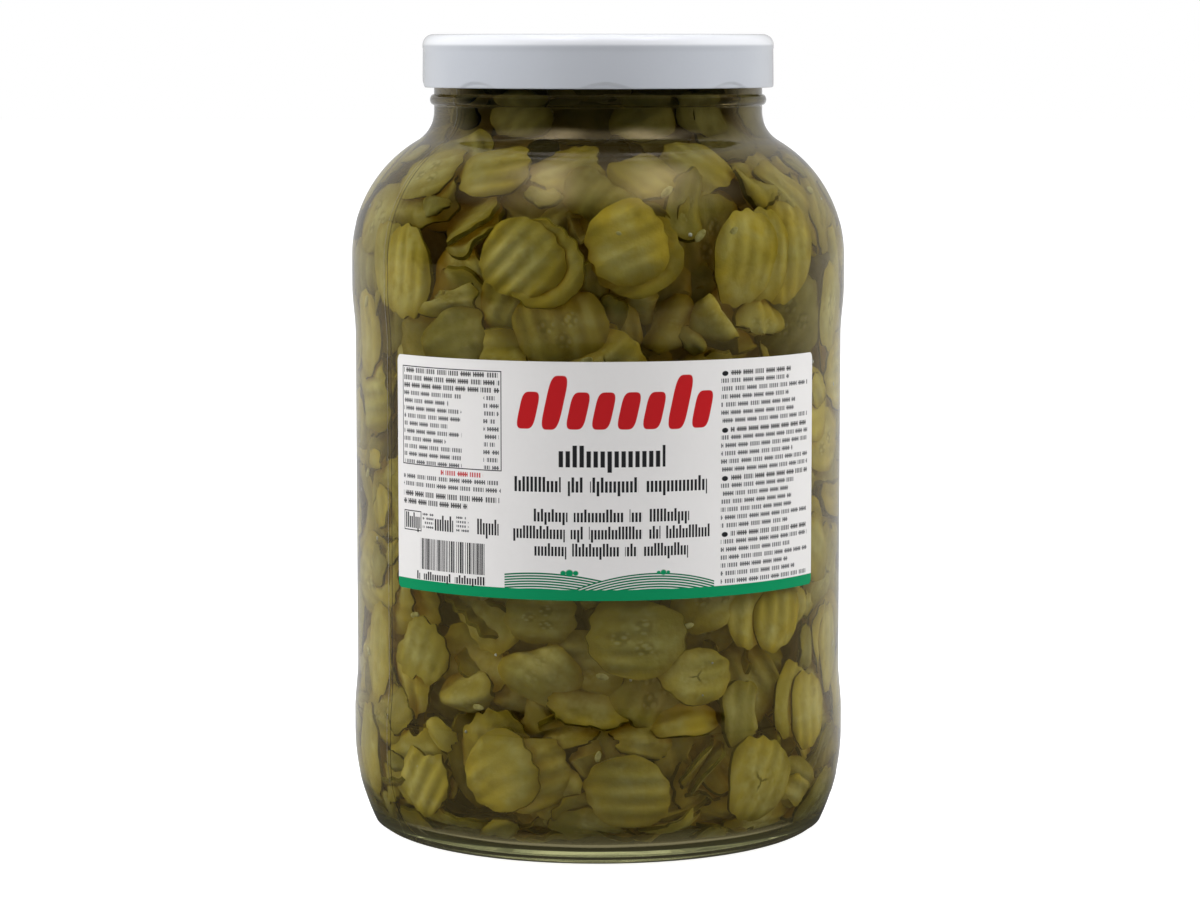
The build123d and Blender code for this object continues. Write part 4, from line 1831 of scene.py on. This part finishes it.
    def litter(self) -> None:
        """Lays the small torn scraps that fill the gaps by the glass."""
        for _ in range(self.scraps):
            size, best = self.chance.uniform(5.5, 10.0), None
            for _ in range(12):
                u, v = self.wall_place()
                p = self.scrap(u, v, size, self.chance.uniform(5, 45))
                found = self.settle(self.wall, self.templates[Cut.SCRAP][0], p)
                if found is not None and (best is None or found[0] + found[1] < best[0]):
                    best = (found[0] + found[1], p)
            if best is not None:
                self.lay(self.wall, best[1])

    def plug(self) -> None:
        """Lays scraps where the lining is still thinnest, so that little of the heart shows."""
        chance = self.chance
        for _ in range(self.plugs):
            soft = blurred(self.wall.depth)
            soft = soft + chance.uniform(0, 1.5, soft.shape)
            row, column = np.unravel_index(int(soft.argmin()), soft.shape)
            along = float(np.clip((row + 0.5) * self.wall.cell, 5, self.wall.length - 5))
            turn = (column + 0.5) * 360 / self.wall.columns
            self.lay(self.wall, self.scrap(turn, along, chance.uniform(6.5, 11.0), chance.uniform(3, 25)))

    def scrap(self, u: float, v: float, size: float, tilt: float) -> Pose:
        """A scrap at a place, of chance shape, turn and shade."""
        chance = self.chance
        return Pose(
            Cut.SCRAP,
            u,
            v,
            wide=size,
            tall=size * chance.uniform(0.55, 0.9),
            turn=chance.uniform(0, 180),
            tilt=tilt,
            lean=chance.uniform(0, 360),
            hue=float(chance.random()),
            shade=chance.uniform(0.15, 0.65),
        )

    def build(self) -> None:
        """Lays every slice and makes one piece of each kind."""
        for s in FRONT_SLICES:
            c, d = math.cos(math.radians(s.turn)), math.sin(math.radians(s.turn))
            wide, tall = math.hypot(s.wide * c, s.tall * d), math.hypot(s.wide * d, s.tall * c)
            along = self.wall.along_for(s.height)
            looks = (s.turn, s.tilt, s.lean, s.hue, s.shade, s.depth)
            self.bunch(self.wall, Pose(s.cut, s.angle % 360, along, wide, tall, *looks), s.stack, s.drift)
        self.litter()
        self.scatter(self.base, self.base_slices, self.base_place)
        self.scatter(self.wall, self.wall_slices, self.wall_place)
        self.plug()
        self.scatter(self.wall, self.inner_slices, self.wall_place, inner=True)
        log.info("mean depth of the lining %.1f mm", float(self.wall.depth.mean()))
        finishes = {
            Cut.PLAIN: PickleFlesh("pickle_flesh"),
            Cut.SEEDED: PickleFlesh("pickle_flesh_seeded", seeds=1.0),
            Cut.SPLIT: PickleFlesh("pickle_flesh_split", split=1.0, seeds=0.35),
            Cut.CURLED: PickleFlesh("pickle_flesh_curled", seeds=0.4),
            Cut.RAGGED: PickleFlesh("pickle_flesh_ragged"),
            Cut.FOLDED: PickleFlesh("pickle_flesh_folded", seeds=0.3),
            Cut.HALF: PickleFlesh("pickle_flesh_half", seeds=0.5),
            Cut.SCRAP: PickleFlesh("pickle_flesh_scrap"),
            # painted shade: a darker copy of the flesh, for the slices behind the others and in the neck
            Cut.INNER: PickleFlesh(
                "pickle_flesh_inner_shaded",
                flesh_yellow=rgb(170, 148, 66),
                flesh_green=rgb(142, 128, 64),
                flesh_pale=rgb(172, 156, 92),
                valley=rgb(116, 98, 42),
                rim=rgb(118, 100, 42),
                skin=rgb(92, 76, 38),
            ),
        }
        self.core()
        for cut in Cut:
            if self.laid[cut]:
                self.join(cut, finishes[cut].material())

    def core(self) -> None:
        """Makes the uneven heart of the fill, which lies behind the slices; its tones, darker than the flesh,
        are painted shade of the packed depths.
        """
        inner = [(r, z) for r, z in self.jar.inside(self.top_z - 8.0) if r > 50 or z > 60]
        side = [(r - self.core_inset, max(z, self.core_low_z)) for r, z in inner if z > 24]
        profile = tidy([(0.0, self.core_low_z)] + side + [(0.0, self.top_z - 8.0)])
        bm = lathe(profile, 90, closed=False)
        for vert in bm.verts:
            _, reach, _ = around(vert)
            if reach > 6:
                move_out(vert, 3.0 * noise.noise(vert.co * 90))
        # painted shade: the heart's tones are darker than the flesh
        heart = PlainBits("pickle_core_shaded", rgb(124, 108, 48), rgb(88, 76, 34), 0.6, 110.0)
        piece("pickle_core_shaded", bm, heart.material())

    def base_place(self) -> tuple[float, float]:
        """A chance place on the base."""
        reach, turn = 50 * math.sqrt(self.chance.random()), self.chance.uniform(0, 2 * math.pi)
        return reach * math.cos(turn), reach * math.sin(turn)

    def wall_place(self) -> tuple[float, float]:
        """A chance place on the wall, as likely on every part of it."""
        while True:
            along = self.chance.uniform(4, self.wall.length - 4)
            if self.chance.random() * 76 < float(np.interp(along, self.wall.run, self.wall.path[:, 0])):
                return self.chance.uniform(0, 360), along

    def join(self, cut: Cut, material: bpy.types.Material) -> None:
        """Joins the slices of one kind into one mesh with their maps."""
        laid = self.laid[cut]
        count = len(laid[0][1].points)
        points = np.concatenate([entry[0] for entry in laid]) * MM
        faces = np.concatenate([entry[1].faces + i * count for i, entry in enumerate(laid)])
        mesh = bpy.data.meshes.new(f"pickles_{cut.value}")
        mesh.from_pydata(points.tolist(), [], faces.tolist())
        loops = len(laid[0][1].face_uv)
        relief = [entry[2][entry[1].corners] for entry in laid]
        maps = {
            "Face": np.concatenate([entry[1].face_uv for entry in laid]),
            "Tint": np.concatenate([np.tile((entry[3], entry[4]), (loops, 1)) for entry in laid]),
            "Relief": np.concatenate([np.repeat(rise[:, None], 2, axis=1) for rise in relief]),
        }
        for name, values in maps.items():
            mesh.uv_layers.new(name=name).data.foreach_set("uv", values.ravel())
        mesh.update()
        dress(f"pickles_{cut.value}", mesh, material, 50.0)


@dataclass
class LooseBits:
    """Loose seeds and small bubbles that hang by the glass."""

    jar: GlassJar
    top_z: float
    seeds: int = 70
    bubbles: int = 34
    low_z: float = 24.0
    high_z: float = 205.0
    clear: float = 0.9
    seed: int = 5

    def build(self) -> None:
        """Makes both pieces."""
        chance = np.random.default_rng(self.seed)
        pale = PlainBits("loose_seed", rgb(186, 176, 112), rgb(150, 138, 74))
        # painted reflection: the bubbles are opaque and pale, standing in for the light that clear bubbles
        # give back
        clear = PlainBits("small_bubble", rgb(206, 204, 190), rgb(170, 166, 146), 0.15)
        for name, count, size, finish in (
            ("loose_seeds", self.seeds, (2.2, 1.1, 0.45), pale),
            ("small_bubbles", self.bubbles, (0.55, 0.55, 0.4), clear),
        ):
            bm = bmesh.new()
            for _ in range(count):
                angle, height = chance.uniform(0, 360), chance.uniform(self.low_z, self.high_z)
                self.add(bm, chance, angle, height, size)
            piece(name, bm, finish.material())

    def add(
        self,
        bm: bmesh.types.BMesh,
        chance: np.random.Generator,
        angle: float,
        height: float,
        size: tuple[float, float, float],
    ) -> None:
        """Adds one bit just inside the wall.

        Args:
            bm: the mesh that it goes into.
            chance: the source of its size and turn.
            angle: its angle round the jar, in degrees.
            height: its height.
            size: its usual half sizes along the wall, up it and out from it.
        """
        ball = bmesh.ops.create_icosphere(bm, subdivisions=2, radius=1.0)["verts"]
        grow = chance.uniform(0.7, 1.3)
        turn = chance.uniform(0, math.pi)
        profile = np.array(self.jar.inside(self.top_z))
        wall = profile[profile[:, 1] > 20]
        reach = float(np.interp(height, wall[:, 1], wall[:, 0])) - self.clear
        t = math.radians(angle)
        for vert in ball:
            x, y, z = vert.co.x * size[0] * grow, vert.co.y * size[1] * grow, vert.co.z * size[2] * grow
            x, y = x * math.cos(turn) - y * math.sin(turn), x * math.sin(turn) + y * math.cos(turn)
            out = reach - abs(size[2]) * grow + z
            right, back = math.sin(t) * out + math.cos(t) * x, -math.cos(t) * out + math.sin(t) * x
            vert.co = (right * MM, back * MM, (height + y) * MM)


# ---- studio


@dataclass(frozen=True)
class Softbox:
    """A softbox: where it hangs, what it points at, its size in metres and its power in watts."""

    name: str
    place: tuple[float, float, float]
    target: tuple[float, float, float]
    wide: float
    tall: float
    power: float


SOFTBOXES = (
    Softbox("softbox_over", (0.0, -0.15, 1.2), (0.0, 0.0, 0.1), 1.1, 0.9, 6.0),
    Softbox("softbox_left", (-1.3, -0.12, 0.8), (0.0, 0.0, 0.13), 0.7, 0.9, 12.8),
    Softbox("softbox_right", (1.35, -0.12, 0.75), (0.0, 0.0, 0.13), 0.7, 0.9, 11.5),
)


def sort_rays(g: Graph) -> tuple[Value, Value, Value]:
    """Tells the rays that meet a material or world apart.

    Args:
        g: its graph.

    Returns:
        1 or 0 for camera rays, and for mirrored and let-through rays that have met no matt surface.
    """
    rays = g.node("ShaderNodeLightPath")
    plain = Value(g, rays.outputs["Diffuse Depth"]) > 0.5
    seen = Value(g, rays.outputs["Is Camera Ray"])
    mirrored = (1.0 - plain) * Value(g, rays.outputs["Is Glossy Ray"])
    through = (1.0 - plain) * Value(g, rays.outputs["Is Transmission Ray"])
    return seen, mirrored, through


@dataclass
class Studio:
    """The pale floor, the soft light and the camera."""

    floor_half: float = 6.0
    floor_drop: float = 0.0002
    front_edge: float = -0.95
    eye: tuple[float, float, float] = (0.0006, -1.1966, 0.2503)
    pitch: float = 6.196
    lens: float = 112.45
    plain: float = 0.4
    warm: Colour = rgb(255, 238, 186)
    cool: Colour = rgb(228, 226, 255)

    def build(self) -> None:
        """Makes all of it."""
        self.floor()
        self.world()
        for box in SOFTBOXES:
            self.lamp(box)
        self.camera()

    def floor(self) -> None:
        """Makes the floor, which shows white and keeps a faint shadow."""
        bm = bmesh.new()
        bmesh.ops.create_grid(bm, x_segments=1, y_segments=1, size=self.floor_half)
        shift = self.front_edge + self.floor_half
        bmesh.ops.translate(bm, vec=(0, shift, -self.floor_drop), verts=bm.verts)
        mesh = bpy.data.meshes.new("studio_floor")
        bm.to_mesh(mesh)
        bm.free()
        g = new_graph("studio_floor_white")
        seen, mirrored, through = sort_rays(g)
        point = g.place()
        aside, away, _ = g.axes(point)
        grain = g.noise(point, 3.0, 2.0)
        white = g.mix(grain * 0.1, rgb(232, 232, 232), rgb(222, 222, 222))
        paint = g.node("ShaderNodeBsdfDiffuse", None, {"Color": g.mix(mirrored, white, rgb(0, 0, 0))})
        square = aside * aside + away * away + 0.02
        far = (away / square.math("SQRT", square)).rise(-0.1, 0.75)
        white_out = square.rise(0.3, 2.0) * 0.26 + 0.74
        strength = seen * white_out + through * 0.18 + mirrored * (far * 0.56 + 0.05)
        tint = g.mix(through, (1, 1, 1, 1), self.warm)
        glow = g.node("ShaderNodeEmission", None, {"Color": tint, "Strength": strength})
        both = g.node("ShaderNodeAddShader", None, {0: paint.outputs[0], 1: glow.outputs[0]})
        g.finish(both.outputs[0])
        mesh.materials.append(g.owner)
        obj = bpy.data.objects.new("studio_floor", mesh)
        bpy.context.scene.collection.objects.link(obj)

    def world(self) -> None:
        """Makes the surroundings: white to the camera, plain and dimmer as light."""
        world = bpy.data.worlds.new("studio_world")
        bpy.context.scene.world = world
        g = Graph(world)
        seen, mirrored, through = sort_rays(g)
        x, y, z = g.axes(g.node("ShaderNodeTexCoord").outputs["Generated"])
        behind = y.rise(0.15, 0.7)
        over = abs(y + 0.2).rise(0.5, 0.15) * z.rise(0.6, 0.8)
        lights = self.streak(x, -0.28, 0.12) * 1.7 + self.streak(x, 0.33, 0.12) * 1.7 + 0.55
        mirror = behind * 0.5 + 0.04 + over * lights
        window = behind * 0.38 + 0.19
        other = 1.0 - seen - mirrored - through
        strength = seen + mirrored * mirror + through * window + other * self.plain
        tint = g.mix(through, g.mix(over, (1, 1, 1, 1), self.cool), self.warm)
        back = g.node("ShaderNodeBackground", None, {"Color": tint, "Strength": strength})
        g.finish(back.outputs[0])

    @staticmethod
    def streak(x: Value, middle: float, half: float) -> Value:
        """A soft light overhead that only reflections show, about a middle from left to right."""
        return abs(x - middle).rise(half * 2, 0.0)

    @staticmethod
    def lamp(box: Softbox) -> None:
        """Adds one softbox, which lights the jar but shows in no reflection and through no glass."""
        data = bpy.data.lights.new(box.name, "AREA")
        data.shape = "RECTANGLE"
        data.size, data.size_y, data.energy = box.wide, box.tall, box.power
        lamp = bpy.data.objects.new(box.name, data)
        lamp.visible_glossy = False
        lamp.visible_transmission = False
        lamp.location = box.place
        aim = Vector(box.target) - Vector(box.place)
        lamp.rotation_euler = aim.to_track_quat("-Z", "Y").to_euler()
        bpy.context.scene.collection.objects.link(lamp)

    def camera(self) -> None:
        """Adds the camera."""
        data = bpy.data.cameras.new("camera")
        data.lens, data.sensor_width = self.lens, 36.0
        data.clip_start, data.clip_end = 0.05, 50.0
        eye = bpy.data.objects.new("camera", data)
        eye.location = self.eye
        eye.rotation_euler = (math.radians(90 - self.pitch), 0, 0)
        bpy.context.scene.collection.objects.link(eye)
        bpy.context.scene.camera = eye
        bpy.context.scene.view_settings.view_transform = "Standard"


def main() -> None:
    """Builds the jar from the glass inwards, then the studio."""
    logging.basicConfig(level=logging.INFO, format="%(name)s: %(message)s")
    brine_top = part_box("brine")[1].z / MM
    lid_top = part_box("lid")[1].z / MM
    jar = GlassJar()
    glass = ClearLiquidOrGlass(
        "jar_glass",
        ior=1.5,
        tint=rgb(250, 252, 249),
        depth_tint=rgb(176, 205, 176),
        density=5.0,
        sheen=rgb(255, 236, 184),
        ripple=0.35,
        seams=(-57.0, 123.0),
        ring_z=0.040,
        # painted light: a faint glow inside the glass
        murk=(1.0, 0.95, 0.5, 1.0),
        murk_glow=0.9,
    )
    liquid = ClearLiquidOrGlass(
        "brine_liquid",
        ior=1.34,
        tint=rgb(254, 253, 248),
        depth_tint=rgb(206, 168, 66),
        density=11.0,
        # painted light: a faint glow inside the brine, for light scattered in it
        murk=(1.0, 0.74, 0.22, 1.0),
        murk_glow=0.45,
    )
    jar.build(glass.material())
    Brine(jar, brine_top - 0.05).build(liquid.material())
    TwistLid(lid_top).build(LacqueredSteel().material())
    FrontLabel(jar.panel_r + 0.05).build()
    PickleFill(jar, brine_top - 1.0).build()
    LooseBits(jar, brine_top - 1.0).build()
    Studio().build()


if __name__ == "__main__":
    main()
